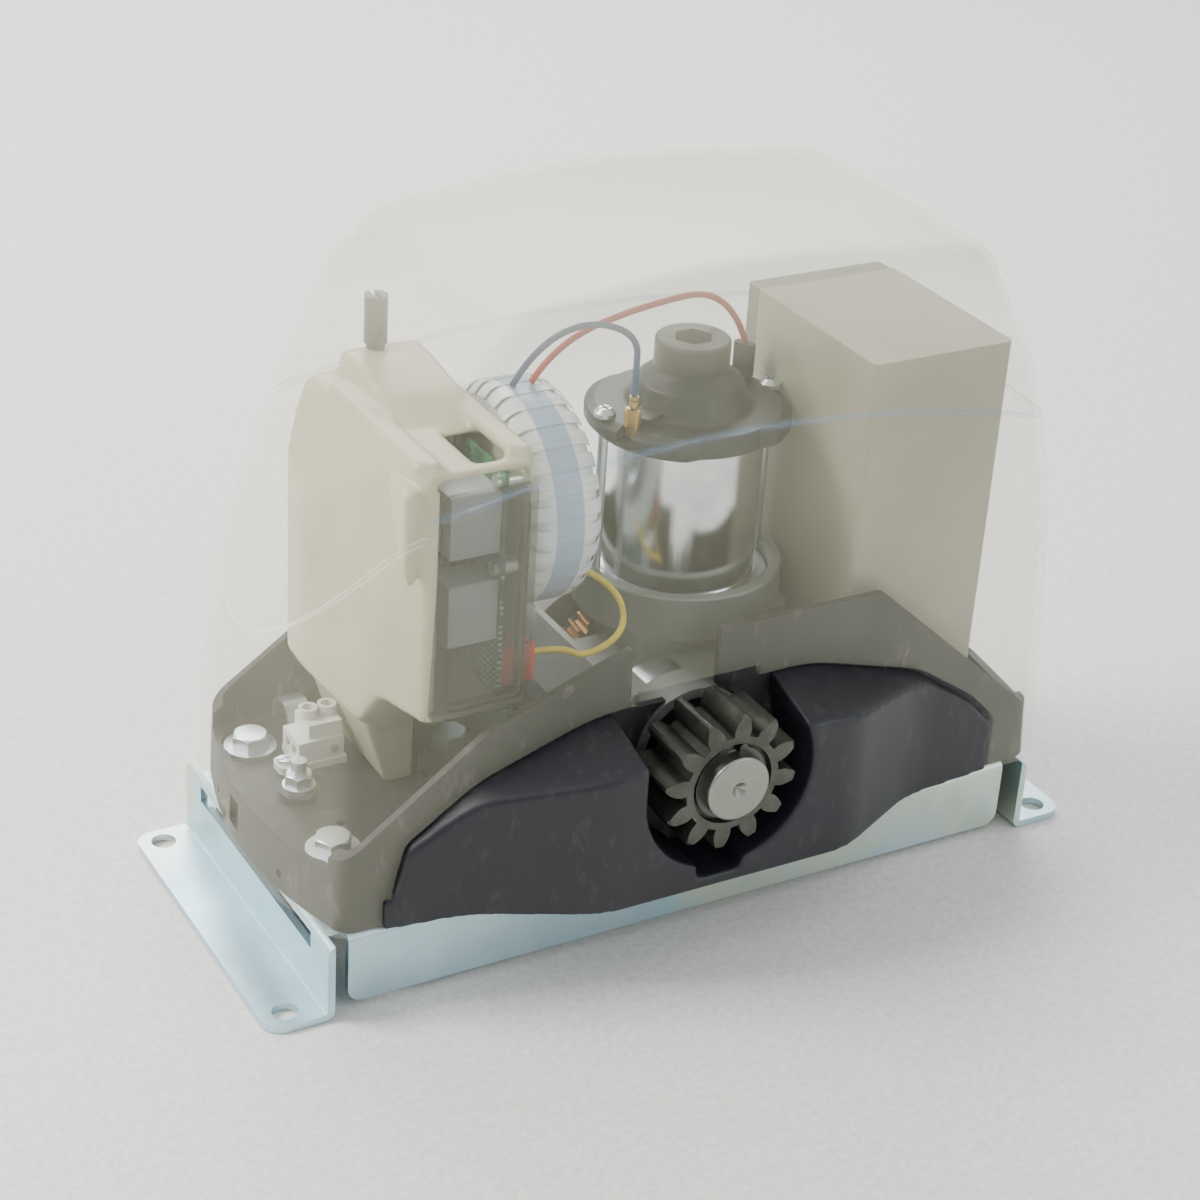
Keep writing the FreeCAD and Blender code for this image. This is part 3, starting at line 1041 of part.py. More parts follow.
def board_screws():
    """Screws that hold the board to the pillars on the housing's right wall."""
    pieces = []
    for y, z in BOARD_SCREWS:
        pillar = rod(BOARD_X + BOARD_T, y, z, 3.2, BOX_RIGHT - BOX_WALL - BOARD_X - BOARD_T, X)
        screw = joined([rod(BOARD_X, y, z, 1.5, 5, X), rod(BOARD_X - 2, y, z, 2.8, 2, X)])
        pieces.append(joined([pillar, screw]))
    return group(pieces)


def relays():
    blocks = []
    for z in (168, 132):
        blocks.append(prism([(BOX_FRONT + 5, z, 1), (BOX_FRONT + 22, z, 1), (BOX_FRONT + 22, z + 25, 1),
                             (BOX_FRONT + 5, z + 25, 1)], "yz", BOARD_X - 20, BOARD_X))
    return group(blocks)


def board_parts():
    """Capacitors, transistor tabs and a heat sink on the board."""
    parts = [rod(BOARD_X - 22, 4, 150, 6.5, 22, X), rod(BOARD_X - 18, 22, 150, 5, 18, X)]
    parts.append(box(BOARD_X - 8, BOARD_X, 0, 30, 176, 182))
    for i in range(5):
        parts.append(box(BOARD_X - 16, BOARD_X - 7.9, 1 + 6.5 * i, 2.6 + 6.5 * i, 176, 182))
    parts = [parts[0], parts[1], joined(parts[2:])]
    return group(parts)


def plugs():
    """Pluggable terminal row, reaching out through the right wall."""
    block = box(BOX_RIGHT - 9.4, BOX_RIGHT + 5, PLUG_Y0, PLUG_Y1, PLUG_Z0, PLUG_Z1)
    block = joined([block, box(BOARD_X + BOARD_T, BOX_RIGHT - 9, PLUG_Y0 + 2, PLUG_Y1 - 2, PLUG_Z0 + 2, PLUG_Z1 - 2)])
    holes = []
    for i in range(4):
        y = PLUG_Y0 + 2.5 + 5 * i
        holes.append(box(BOX_RIGHT + 2, BOX_RIGHT + 6, y - 1.6, y + 1.6, PLUG_Z0 + 2, PLUG_Z0 + 6.4))
        holes.append(rod(BOX_RIGHT + 2, y, PLUG_Z1 - 3, 1.5, 6, Z))
    return drilled(block, holes)


def mast():
    """Slotted post in the roof of the controller housing."""
    body = joined([rod(POST_X, POST_Y, BOX_TOP, POST_R, POST_TOP - BOX_TOP),
                   rod(POST_X, POST_Y, BOX_TOP - 4.0, POST_R - 2.0, 5)])
    slot = box(POST_X - 1.2, POST_X + 1.2, POST_Y - 10, POST_Y + 10, POST_TOP - 16, POST_TOP + 1)
    waist = tube(POST_X, POST_Y, BOX_TOP + 8, POST_R + 1, POST_R - 0.9, 5)
    return drilled(body, [slot, waist])


# ---------------------------------------------------------------- transformer
def support_bracket():
    """Upright sheet between controller and transformer, footed on the tray."""
    plate = prism([(-20, TRAY_FLOOR, 0), (44, TRAY_FLOOR, 0), (44, 196, 8), (-20, 196, 8)], "yz", BRACKET_X, COIL_X)
    foot = prism([(BRACKET_X, -20, 0), (COIL_X + 14, -20, 5), (COIL_X + 14, 44, 5), (BRACKET_X, 44, 0)], "xy",
                 TRAY_FLOOR, TRAY_FLOOR + BRACKET_T)
    holes = [rod(COIL_X + 8, y, TRAY_FLOOR - 1, 2.2, 6) for y in FOOT_SCREW_Y]
    holes.append(rod(BRACKET_X - 1, COIL_Y, COIL_Z, 3.0 + HOLE_CLEAR, 6, X))
    return drilled(joined([plate, foot]), holes)


def bracket_screws():
    return group([socket_screw(COIL_X + 8, y, TRAY_FLOOR + BRACKET_T, 2.0, 3.5, 3, 6.4, Z, -1) for y in FOOT_SCREW_Y])


def transformer_coil():
    profile = [(COIL_BORE, COIL_X, 5), (COIL_R, COIL_X, 9), (COIL_R, COIL_X + COIL_W, 9), (COIL_BORE, COIL_X + COIL_W, 5)]
    return turned(profile, 0, COIL_Y, COIL_Z, X)


def transformer_washer():
    """Dished washer that presses the coil against its bracket."""
    face = COIL_X + COIL_W
    profile = [(3.3, face - 3), (COIL_BORE - 3, face - 3, 1), (COIL_BORE - 0.6, face, 1), (COIL_BORE + 8, face),
               (COIL_BORE + 8, face + 1.5), (COIL_BORE - 1.4, face + 1.5, 1), (COIL_BORE - 3.8, face - 1.5, 1),
               (3.3, face - 1.5)]
    return turned(profile, 0, COIL_Y, COIL_Z, X)


def transformer_bolt():
    face = COIL_X + COIL_W - 1.5
    shank = rod(BRACKET_X - 3.2, COIL_Y, COIL_Z, 3.0, face - BRACKET_X + 3.2, X)
    head = hexagon(10, 4, face, COIL_Y, COIL_Z, X)
    nut = hexagon(10, 3, BRACKET_X - 3.0, COIL_Y, COIL_Z, X)
    return joined([shank, head, nut])


# ---------------------------------------------------------------- fittings on the tray floor
def terminal_block():
    """Moulded block with an ear for its screw, two cups on top and one clamping screw."""
    z = TRAY_FLOOR
    ear = prism([(BLOCK_X - 17, BLOCK_Y - 9, 3), (BLOCK_X, BLOCK_Y - 9), (BLOCK_X, BLOCK_Y + 1),
                 (BLOCK_X - 17, BLOCK_Y + 1, 3)], "xy", z, z + 3)
    plate = box(BLOCK_X - 9, BLOCK_X + 11, BLOCK_Y - 9, BLOCK_Y + 9, z, z + 3)
    tower = box(BLOCK_X - 9, BLOCK_X + 10, BLOCK_Y - 8, BLOCK_Y + 8, z + 2, z + 12)
    step = box(BLOCK_X - 4, BLOCK_X + 10, BLOCK_Y - 6, BLOCK_Y + 8, z + 11, z + 18)
    cups = [tube(BLOCK_X - 1 + 8 * i, BLOCK_Y + 2, z + 17, 3.8, 2.4, 5) for i in range(2)]
    block = joined([ear, plate, tower, step] + cups)
    slots = [box(BLOCK_X - 10, BLOCK_X - 3, BLOCK_Y - 5 + 6 * i, BLOCK_Y - 1 + 6 * i, z + 5, z + 9)
             for i in range(2)]
    well = rod(BLOCK_X + 6, BLOCK_Y - 8.5, z + 7, 1.8, 4, Y)
    ear_hole = rod(*SMALL_SCREWS[0], z - 1, 1.6, 6)
    return drilled(block, slots + [well, ear_hole])


def terminal_screws():
    """Two screws into the floor, and the one that clamps a wire in the block."""
    z = TRAY_FLOOR
    screws = []
    for (x, y), thick in zip(SMALL_SCREWS, (3.0, CLAMP_T)):
        head = rod(x, y, z + thick, 2.8, 1.8).cut(box(x - 3, x + 3, y - 0.4, y + 0.4, z + thick + 0.9, z + 8))
        screws.append(joined([rod(x, y, z - 3.5, 1.5, 3.5 + thick), head]))
    screws.append(rod(BLOCK_X + 6, BLOCK_Y - 9, z + 7, 1.7, 4, Y))
    return group(screws)


def cable_clamp():
    """Bent strap that holds the incoming cable down beside the terminal block."""
    z = TRAY_FLOOR
    x0, x1 = CLAMP_X - 5, CLAMP_X + 5
    y = CLAMP_Y
    arch = [(y - 9, z), (y - 9, z + 12, 7.9), (y + 7, z + 12, 7.9), (y + 7, z)]
    inner = [(y - 9 + CLAMP_T, z - 1), (y - 9 + CLAMP_T, z + 12 - CLAMP_T, 6.4), (y + 7 - CLAMP_T, z + 12 - CLAMP_T, 6.4),
             (y + 7 - CLAMP_T, z - 1)]
    strap = prism(arch, "yz", x0, x1).cut(prism(inner, "yz", x0 - 1, x1 + 1))
    foot = box(x0, x1, y - 17, y - 9 + CLAMP_T / 2, z, z + CLAMP_T)
    return joined([strap, foot]).cut(rod(*SMALL_SCREWS[1], z - 1, 1.6, 4))


def floor_stud():
    """Threaded stud with a collar and a hexagon nut, at the middle of the left floor."""
    z = TRAY_FLOOR + 3
    collar = rod(STUD_X, STUD_Y, z, 6.5, 2.5)
    stud = rod(STUD_X, STUD_Y, PLATE_TOP + 7, 3, z - PLATE_TOP + 6)
    nut = hexagon(10, 5, STUD_X, STUD_Y, z + 2.5)
    return joined([collar, stud, nut])


# ---------------------------------------------------------------- leads
def lead(points, name):
    """Round lead along runs joined by tangent arcs, each as large as its runs allow."""
    pts = [Vector(*p) for p in points]
    edges = []
    length = 0.0
    start = pts[0]
    radii = []
    for i in range(1, len(pts) - 1):
        before, after = pts[i] - pts[i - 1], pts[i + 1] - pts[i]
        turn = before.getAngle(after)
        shorter = min(before.Length, after.Length)
        radius = 0.45 * shorter / math.tan(turn / 2)
        radii.append(radius)
        reach = 0.45 * shorter
        a = pts[i] - Vector(before).normalize() * reach
        b = pts[i] + Vector(after).normalize() * reach
        inward = (Vector(after).normalize() - Vector(before).normalize()).normalize()
        middle = pts[i] + inward * (radius / math.cos(turn / 2) - radius)
        edges.append(Part.LineSegment(start, a).toShape())
        edges.append(Part.Arc(a, middle, b).toShape())
        length += (a - start).Length + radius * turn
        start = b
    edges.append(Part.LineSegment(start, pts[-1]).toShape())
    length += (pts[-1] - start).Length
    spine = Part.Wire(edges)
    first = (pts[1] - pts[0]).normalize()
    section = Part.Wire(Part.makeCircle(WIRE_D / 2, pts[0], first))
    solid = spine.makePipeShell([section], True, False)
    ratio = solid.Volume / (math.pi * WIRE_D ** 2 / 4 * length)
    bends = " ".join(f"{r:.1f}" for r in radii)
    print(f"{name}: length {length:.1f}, volume / (section x length) {ratio:.4f}, radii {bends}")
    print("  through " + " ".join(f"({p.x:.2f}, {p.y:.2f}, {p.z:.2f})" for p in pts))
    return solid


def blade_top(angle):
    """Centre of the top edge of the spade blade at an angle round the motor."""
    reach = BLADE_R - BLADE_T / 2
    return (MOTOR_X + reach * math.cos(math.radians(angle)),
            MOTOR_Y + reach * math.sin(math.radians(angle)), BRUSH_Z + 10)


def blue_wire():
    """From the top of the coil to the left brush terminal."""
    x, y, z = blade_top(BRUSH_TILT[1])
    top = COIL_Z + COIL_R
    return lead([(COIL_X + 11, COIL_Y, top + END_GAP), (COIL_X + 13, COIL_Y - 12, top + 20),
                 (COIL_X + 28, COIL_Y - 24, top + 34), (x - 6, y - 10, top + 27), (x, y, z + 14), (x, y, z)],
                "blue_wire")


def red_wire():
    """From the top of the coil, over the cap, into the sleeve on the right terminal."""
    x, y, z = blade_top(BRUSH_TILT[0])
    top = COIL_Z + COIL_R
    return lead([(COIL_X + 19, COIL_Y, top + END_GAP), (COIL_X + 27, COIL_Y - 5, top + 18), (x - 54, y - 7, top + 24),
                 (x - 9, y + 1, top + 23), (x, y, z + SLEEVE_UP + END_GAP)], "red_wire")


def yellow_wire():
    """From the coil's inner face, round below it, into the plug row."""
    face = COIL_X + COIL_W
    y, z = PLUG_Y0 + 12.5, PLUG_Z0 + 4.2
    return lead([(face + END_GAP, COIL_Y - 16, COIL_Z - 28), (face + 16, COIL_Y - 25, COIL_Z - 34),
                 (face + 12, y - 0.5, z + 0.5), (face - 9, y - 4, z - 6), (BOX_RIGHT + 22, y, z),
                 (BOX_RIGHT + 2.1, y, z)], "yellow_wire")


def terminal_sleeve():
    """Soft sleeve over the right brush terminal."""
    x, y, z = blade_top(BRUSH_TILT[0])
    sleeve = prism([(-2.2, -4.6, 1.6), (2.2, -4.6, 1.6), (2.2, 4.6, 1.6), (-2.2, 4.6, 1.6)], "xy",
                   z - 6.2, z + SLEEVE_UP)
    slot = box(-BLADE_T / 2, BLADE_T / 2, -3.1, 3.1, z - 9, z)
    sleeve = sleeve.cut(slot)
    sleeve.rotate(Vector(0, 0, 0), Z, BRUSH_TILT[0])
    sleeve.translate(Vector(x, y, 0))
    return sleeve


def build():
    os.makedirs("parts", exist_ok=True)
    low = PLATE_TOP - PLATE_T
    seat = TRAY_FLOOR + WASHER_T
    save("foundation_plate", foundation_plate())
    save("fixing_bolts", group(around(FIX_POINTS, lambda x, y: hex_bolt(x, y, seat, FIX_BOLT_R, 13, 5.3, seat - low + 9))))
    save("fixing_washers", group(around(FIX_POINTS, lambda x, y: tube(x, y, TRAY_FLOOR, WASHER_R, 4.3, WASHER_T))))
    save("fixing_nuts", group(around(FIX_POINTS, lambda x, y: hex_nut(x, y, low - 6.5, FIX_BOLT_R, 13, 6.5))))
    save("base_housing", base_housing())
    save("floor_stud", floor_stud())
    save("centre_bolt", hex_bolt(CENTRE_X, CENTRE_Y, TRAY_FLOOR + 10, 4, 13, 5.3, 14))
    save("terminal_block", terminal_block())
    save("terminal_screws", terminal_screws())
    save("cable_clamp", cable_clamp())

    save("gearbox_case", gearbox_case())
    save("gearbox_cover", gearbox_cover())
    save("gearbox_cover_screws", group([socket_screw(x, CASE_REAR + CASE_COVER_T, z, 1.95, 3.5, 4, CASE_COVER_T + 8, Y, -1)
                                        for x, z in CASE_COVER_POINTS]))
    save("gearbox_bolts", group([socket_screw(x, y, PLATE_TOP + 12, CASE_BOLT_R, 5, 6, 12 + PLATE_T + 6, Z, -1)
                                 for x, y in CASE_POINTS]))
    front = (OUTPUT_X, FRONT_BEARING_Y, OUTPUT_Z, BEARING_R - 0.02, BEARING_SHAFT_R + 0.02, BEARING_W, Y)
    rear = (OUTPUT_X, REAR_BEARING_Y, OUTPUT_Z, REAR_BEARING_R - 0.02, REAR_SHAFT_R + 0.02, REAR_BEARING_W, Y)
    worm = (MOTOR_X, MOTOR_Y, UPPER_BEARING_Z, REAR_BEARING_R - 0.02, WORM_SHAFT_R + 0.02, 11.0, Z)
    top = (MOTOR_X, MOTOR_Y, TOP_BEARING_Z, TOP_BEARING_R - 0.02, 5.02, TOP_BEARING_W, Z)
    save("bearing_outer_rings", group([fixed_ring(*front), fixed_ring(*rear)]))
    save("output_inner_rings", group([moving_ring(*front), moving_ring(*rear)]))
    save("motor_bearing_outer_rings", group([fixed_ring(*worm), fixed_ring(*top)]))
    save("motor_inner_rings", group([moving_ring(*worm), moving_ring(*top)]))
    save("output_seal", tube(OUTPUT_X, BOSS_FRONT + 1, OUTPUT_Z, BEARING_R - 0.02, SEAL_SHAFT_R + RUN_FIT, SEAL_W, Y))
    save("worm_bush", tube(MOTOR_X, MOTOR_Y, LOWER_BUSH_Z, WORM_TAIL_R + 3, WORM_TAIL_R + RUN_FIT, LOWER_BUSH_L))
    save("output_shaft", output_shaft())
    save("pinion", pinion())
    save("pinion_key", key_in(PINION_FRONT + 4, PINION_REAR, SHAFT_R))
    save("pinion_ring", retaining_ring())
    save("worm_wheel", worm_wheel())
    save("wheel_key", key_in(WHEEL_LOW_Y, WHEEL_HIGH_Y + 4, WHEEL_SEAT_R))
    save("worm_shaft", worm_shaft())

    save("motor_plate", motor_plate())
    save("motor_can", motor_can())
    save("motor_magnets", magnets())
    save("armature_core", armature_core())
    save("armature_windings", armature_windings())
    save("commutator", commutator())
    save("motor_end_cap", motor_end_cap())
    save("motor_screws", motor_screws())
    save("brushes", brushes())
    save("brush_springs", brush_springs())
    save("brush_terminals", brush_terminals())

    save("controller_housing", controller_housing())
    save("controller_window", controller_window())
    save("control_board", control_board())
    save("board_screws", board_screws())
    save("relays", relays())
    save("board_parts", board_parts())
    save("plug_terminals", plugs())
    save("mast", mast())
    save("support_bracket", support_bracket())
    save("bracket_screws", bracket_screws())
    save("transformer_coil", transformer_coil())
    save("transformer_washer", transformer_washer())
    save("transformer_bolt", transformer_bolt())
    save("blue_wire", blue_wire())
    save("red_wire", red_wire())
    save("yellow_wire", yellow_wire())
    save("terminal_sleeve", terminal_sleeve())
    save("battery_case", battery_case())
    save("battery_lid", battery_lid())
    save("battery_terminals", battery_terminals())
    save("pinion_guard", pinion_guard())
    save("cover", cover())


build()
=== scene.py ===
import json
import math

import bmesh
import bpy
from mathutils import Matrix, Vector


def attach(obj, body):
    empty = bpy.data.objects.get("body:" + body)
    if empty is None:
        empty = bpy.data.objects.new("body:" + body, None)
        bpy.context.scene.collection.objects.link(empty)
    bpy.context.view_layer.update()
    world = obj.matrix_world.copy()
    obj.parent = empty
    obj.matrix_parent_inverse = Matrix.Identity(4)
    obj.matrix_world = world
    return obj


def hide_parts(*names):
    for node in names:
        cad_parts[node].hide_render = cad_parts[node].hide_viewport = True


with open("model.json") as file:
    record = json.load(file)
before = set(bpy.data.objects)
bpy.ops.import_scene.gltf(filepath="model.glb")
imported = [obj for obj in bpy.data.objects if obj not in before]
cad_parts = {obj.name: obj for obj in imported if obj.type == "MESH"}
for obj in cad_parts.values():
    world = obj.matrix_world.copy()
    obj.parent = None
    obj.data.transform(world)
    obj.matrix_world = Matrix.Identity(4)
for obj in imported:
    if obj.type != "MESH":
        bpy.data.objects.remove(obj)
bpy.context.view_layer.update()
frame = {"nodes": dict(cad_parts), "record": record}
nodes = frame["nodes"]
scene = bpy.context.scene


# camera
cameraSetup = {"place": (-0.488, -0.799, 0.612), "lens": 79.8,
               "azimuth": -30.8, "elevation": 28.3, "roll": 3.65}


def turn(degrees, axis):
    return Matrix.Rotation(math.radians(degrees), 4, axis)


camera = bpy.data.objects.new("camera", bpy.data.cameras.new("camera"))
camera.data.sensor_width = 36
camera.data.lens = cameraSetup["lens"]
camera.matrix_world = (Matrix.Translation(cameraSetup["place"]) @ turn(cameraSetup["azimuth"], "Z")
                       @ turn(90 - cameraSetup["elevation"], "X") @ turn(cameraSetup["roll"], "Z"))
scene.collection.objects.link(camera)
scene.camera = camera
print("camera set")


# leads, each a round tube along a NURBS curve through its route points
wireSetup = {
    "diameter": 0.0026,
    "routes": {
        "blue_wire": [(-49.0, 12.0, 205.4), (-47.0, 0.0, 224.7), (-32.0, -12.0, 238.7),
                      (-12.01, -16.34, 231.7), (-6.01, -6.34, 209.5), (-6.01, -6.34, 195.5)],
        "red_wire": [(-41.0, 12.0, 205.4), (-33.0, 7.0, 222.7), (6.01, 13.34, 228.7), (51.01, 21.34, 227.7),
                     (60.01, 20.34, 203.2)],
        "yellow_wire": [(-29.3, -4.0, 133.0), (-14.0, -13.0, 127.0), (-18.0, -34.0, 116.7),
                        (-39.0, -37.5, 110.2), (-49.0, -33.5, 116.2), (-68.9, -33.5, 116.2)],
    },
    "lengths": {"blue_wire": 0.099, "red_wire": 0.125, "yellow_wire": 0.088},
    "slots": {"blue_wire": "wire_blue", "red_wire": "wire_red", "yellow_wire": "wire_yellow"},
}


def makeLead(name, route):
    curve = bpy.data.curves.new(name + "Line", "CURVE")
    curve.dimensions = "3D"
    curve.bevel_depth = wireSetup["diameter"] / 2
    curve.bevel_resolution = 4
    curve.resolution_u = 12
    curve.use_fill_caps = True
    spline = curve.splines.new("NURBS")
    spline.points.add(len(route) - 1)
    for point, place in zip(spline.points, route):
        point.co = (place[0] / 1000, place[1] / 1000, place[2] / 1000, 1)
    spline.order_u = 3
    spline.use_endpoint_u = True
    lead = bpy.data.objects.new(name + "Lead", curve)
    scene.collection.objects.link(lead)
    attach(lead, "base")
    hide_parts(name)
    start = [value / 1000 for value in route[0]]
    return lead


leads = {name: makeLead(name, route) for name, route in wireSetup["routes"].items()}
print("leads laid:", len(leads))


# shader helpers
def screen(red, green, blue):
    # 0-255 screen colour to a linear one
    parts = (red, green, blue)
    return tuple(((v / 255 + 0.055) / 1.055) ** 2.4 if v > 10 else v / 255 / 12.92 for v in parts) + (1,)


class Wire:
    # an output socket that takes part in sums; each sum adds its Math node
    def __init__(self, paint, socket):
        self.paint = paint
        self.socket = socket

    def math(self, operation, *others):
        return self.paint.node("ShaderNodeMath", {"operation": operation}, [self, *others])

    def fromLeft(self, operation, other):
        return self.paint.node("ShaderNodeMath", {"operation": operation}, [other, self])

    def __add__(self, other):
        return self.math("ADD", other)

    def __radd__(self, other):
        return self.fromLeft("ADD", other)

    def __sub__(self, other):
        return self.math("SUBTRACT", other)

    def __mul__(self, other):
        return self.math("MULTIPLY", other)

    def __rmul__(self, other):
        return self.fromLeft("MULTIPLY", other)

    def __truediv__(self, other):
        return self.math("DIVIDE", other)

    def __pow__(self, other):
        return self.math("POWER", other)


class Paint:
    # one material: Object coordinates in metres, and the sockets of its shader
    def __init__(self, name, **fixed):
        self.material = bpy.data.materials.new(name)
        self.material.use_nodes = True
        self.tree = self.material.node_tree
        self.shader = next(n for n in self.tree.nodes if n.type == "BSDF_PRINCIPLED")
        self.place = self.node("ShaderNodeTexCoord", output="Object")
        for key, value in fixed.items():
            self.shader.inputs[key.replace("_", " ")].default_value = value

    def node(self, kind, settings=None, inputs=None, output=0):
        made = self.tree.nodes.new(kind)
        for key, value in (settings or {}).items():
            if key == "stops":
                while len(made.color_ramp.elements) < len(value):
                    made.color_ramp.elements.new(0.5)
                for element, (position, color) in zip(made.color_ramp.elements, value):
                    element.position = position
                    element.color = color
            else:
                setattr(made, key, value)
        pairs = (inputs or {}).items() if not isinstance(inputs, list) else enumerate(inputs)
        for key, value in pairs:
            if isinstance(value, Wire):
                self.tree.links.new(value.socket, made.inputs[key])
            else:
                made.inputs[key].default_value = value
        return Wire(self, made.outputs[output])

    def feed(self, socketName, value):
        self.tree.links.new(value.socket, self.shader.inputs[socketName])

    def stretched(self, scale, shift=(0, 0, 0)):
        return self.node("ShaderNodeMapping", None, {"Vector": self.place, "Location": shift, "Scale": scale})

    def noise(self, scale, detail=3.0, roughness=0.5, vector=None):
        return self.node("ShaderNodeTexNoise", None, {"Vector": vector or self.place, "Scale": scale,
                                                      "Detail": detail, "Roughness": roughness})

    def cells(self, scale, output="Distance", vector=None):
        sockets = {"Vector": vector or self.place, "Scale": scale}
        return self.node("ShaderNodeTexVoronoi", None, sockets, output)

    def ramp(self, value, *stops):
        return self.node("ShaderNodeValToRGB", {"stops": stops}, {"Fac": value}, "Color")

    def between(self, value, low, high, toLow=0.0, toHigh=1.0):
        return self.node("ShaderNodeMapRange", None, {"Value": value, "From Min": low, "From Max": high,
                                                      "To Min": toLow, "To Max": toHigh})

    def mix(self, factor, first, second):
        return self.node("ShaderNodeMix", {"data_type": "RGBA"}, {0: factor, 6: first, 7: second}, 2)

    def axes(self, vector=None):
        split = {"Vector": vector or self.place}
        return [self.node("ShaderNodeSeparateXYZ", None, split, name) for name in "XYZ"]

    def bump(self, height, strength, distance):
        sockets = {"Height": height, "Strength": strength, "Distance": distance}
        return self.node("ShaderNodeBump", None, sockets)


def shaded(color, factor):
    return tuple(min(1.0, c * factor) for c in color[:3]) + (1,)


def mouldedPlastic(name, color, grain=1400, grainDepth=0.25, roughness=0.45, dust=0.10, coat=0.0):
    paint = Paint(name, Coat_Weight=coat, Coat_Roughness=0.25, Specular_IOR_Level=0.45)
    cloudy = paint.noise(14, 4, 0.6)
    fine = paint.noise(grain, 2, 0.6)
    scuff = paint.noise(160, 5, 0.7, paint.stretched((1, 1, 0.35)))
    base = paint.mix(paint.between(cloudy, 0.35, 0.7), shaded(color, 0.88), shaded(color, 1.1))
    dusty = paint.between(scuff, 0.55, 0.8, 0.0, dust)
    paint.feed("Base Color", paint.mix(dusty, base, screen(168, 164, 156)))
    paint.feed("Roughness", roughness - 0.08 + 0.16 * cloudy + 0.5 * dusty)
    paint.feed("Normal", paint.bump(fine, grainDepth, 0.0002))
    return paint


def zincPlate(name, color, along=(14, 500, 500), roughness=0.26):
    paint = Paint(name, Metallic=0.92)
    rolled = paint.noise(1.0, 3, 0.6, paint.stretched(along))
    spangle = paint.cells(55, "Color")
    bloom = paint.noise(9, 4, 0.65)
    stain = paint.noise(38, 5, 0.7)
    tinted = paint.ramp(bloom, (0.32, shaded(color, 0.86)), (0.5, color), (0.62, screen(214, 222, 205)),
                        (0.76, screen(158, 205, 218)))
    spots = paint.node("ShaderNodeSeparateColor", None, {"Color": spangle})
    spots = paint.between(spots, 0.0, 1.0, 0.0, 0.16)
    tinted = paint.mix(spots, tinted, screen(238, 245, 246))
    stained = paint.between(stain, 0.6, 0.85, 0, 0.35)
    paint.feed("Base Color", paint.mix(stained, tinted, screen(136, 150, 152)))
    paint.feed("Roughness", roughness + 0.14 * rolled + 0.12 * stain)
    paint.feed("Normal", paint.bump(rolled, 0.18, 0.0002))
    return paint


def castMetal(name, color, roughness=0.5, pit=650):
    paint = Paint(name, Metallic=0.75)
    sand = paint.noise(pit, 4, 0.65)
    broad = paint.noise(22, 4, 0.6)
    base = paint.mix(paint.between(broad, 0.35, 0.7), shaded(color, 0.85), shaded(color, 1.12))
    paint.feed("Base Color", paint.mix(paint.between(sand, 0.55, 0.75, 0, 0.4), base, shaded(color, 0.6)))
    paint.feed("Roughness", roughness + 0.2 * broad)
    paint.feed("Normal", paint.bump(sand, 0.5, 0.0004))
    return paint


def turnedMetal(name, color, centre, axis, roughness=0.24, pitch=0.00055, ringDepth=0.2, wear=0.3):
    # tool marks run round an axis through centre
    paint = Paint(name, Metallic=1.0)
    x, y, z = paint.axes(paint.stretched((1, 1, 1), tuple(-v for v in centre)))
    across = [v for v, letter in zip((x, y, z), "XYZ") if letter != axis]
    radius = (across[0] * across[0] + across[1] * across[1]) ** 0.5
    lengthwise = {"X": x, "Y": y, "Z": z}[axis]
    rings = ((radius + lengthwise) * (2 * math.pi / pitch)).math("SINE")
    smear = paint.noise(60, 5, 0.7)
    paint.feed("Base Color", paint.mix(paint.between(smear, 0.45, 0.8, 0, wear), color, shaded(color, 0.45)))
    paint.feed("Roughness", roughness + 0.05 * rings + 0.22 * smear)
    paint.feed("Normal", paint.bump(rings, ringDepth, 0.00006))
    return paint


def oiledSteel(name, color, roughness=0.38):
    paint = Paint(name, Metallic=0.85)
    mill = paint.noise(1.0, 3, 0.6, paint.stretched((900, 60, 900)))
    film = paint.noise(75, 5, 0.65)
    base = paint.mix(paint.between(film, 0.4, 0.75), shaded(color, 0.7), shaded(color, 1.35))
    paint.feed("Base Color", paint.mix(paint.between(mill, 0.58, 0.8, 0, 0.5), base, shaded(color, 1.8)))
    paint.feed("Roughness", roughness + 0.25 * film)
    paint.feed("Normal", paint.bump(mill, 0.3, 0.0002))
    return paint


def softRubber(name, color, roughness=0.6, grain=900):
    paint = Paint(name, Specular_IOR_Level=0.35)
    bloom = paint.noise(70, 4, 0.6)
    fine = paint.noise(grain, 2, 0.6)
    base = paint.mix(paint.between(bloom, 0.4, 0.75), shaded(color, 0.8), shaded(color, 1.25))
    paint.feed("Base Color", base)
    paint.feed("Roughness", roughness - 0.1 + 0.25 * bloom)
    paint.feed("Normal", paint.bump(fine, 0.15, 0.0002))
    return paint


# finishes, one per material slot of the record
motorAxis = (0.027, 0.007, 0.15)
shaftAxis = (-0.005, -0.08, 0.0784)
coilAxis = (-0.045, 0.012, 0.161)


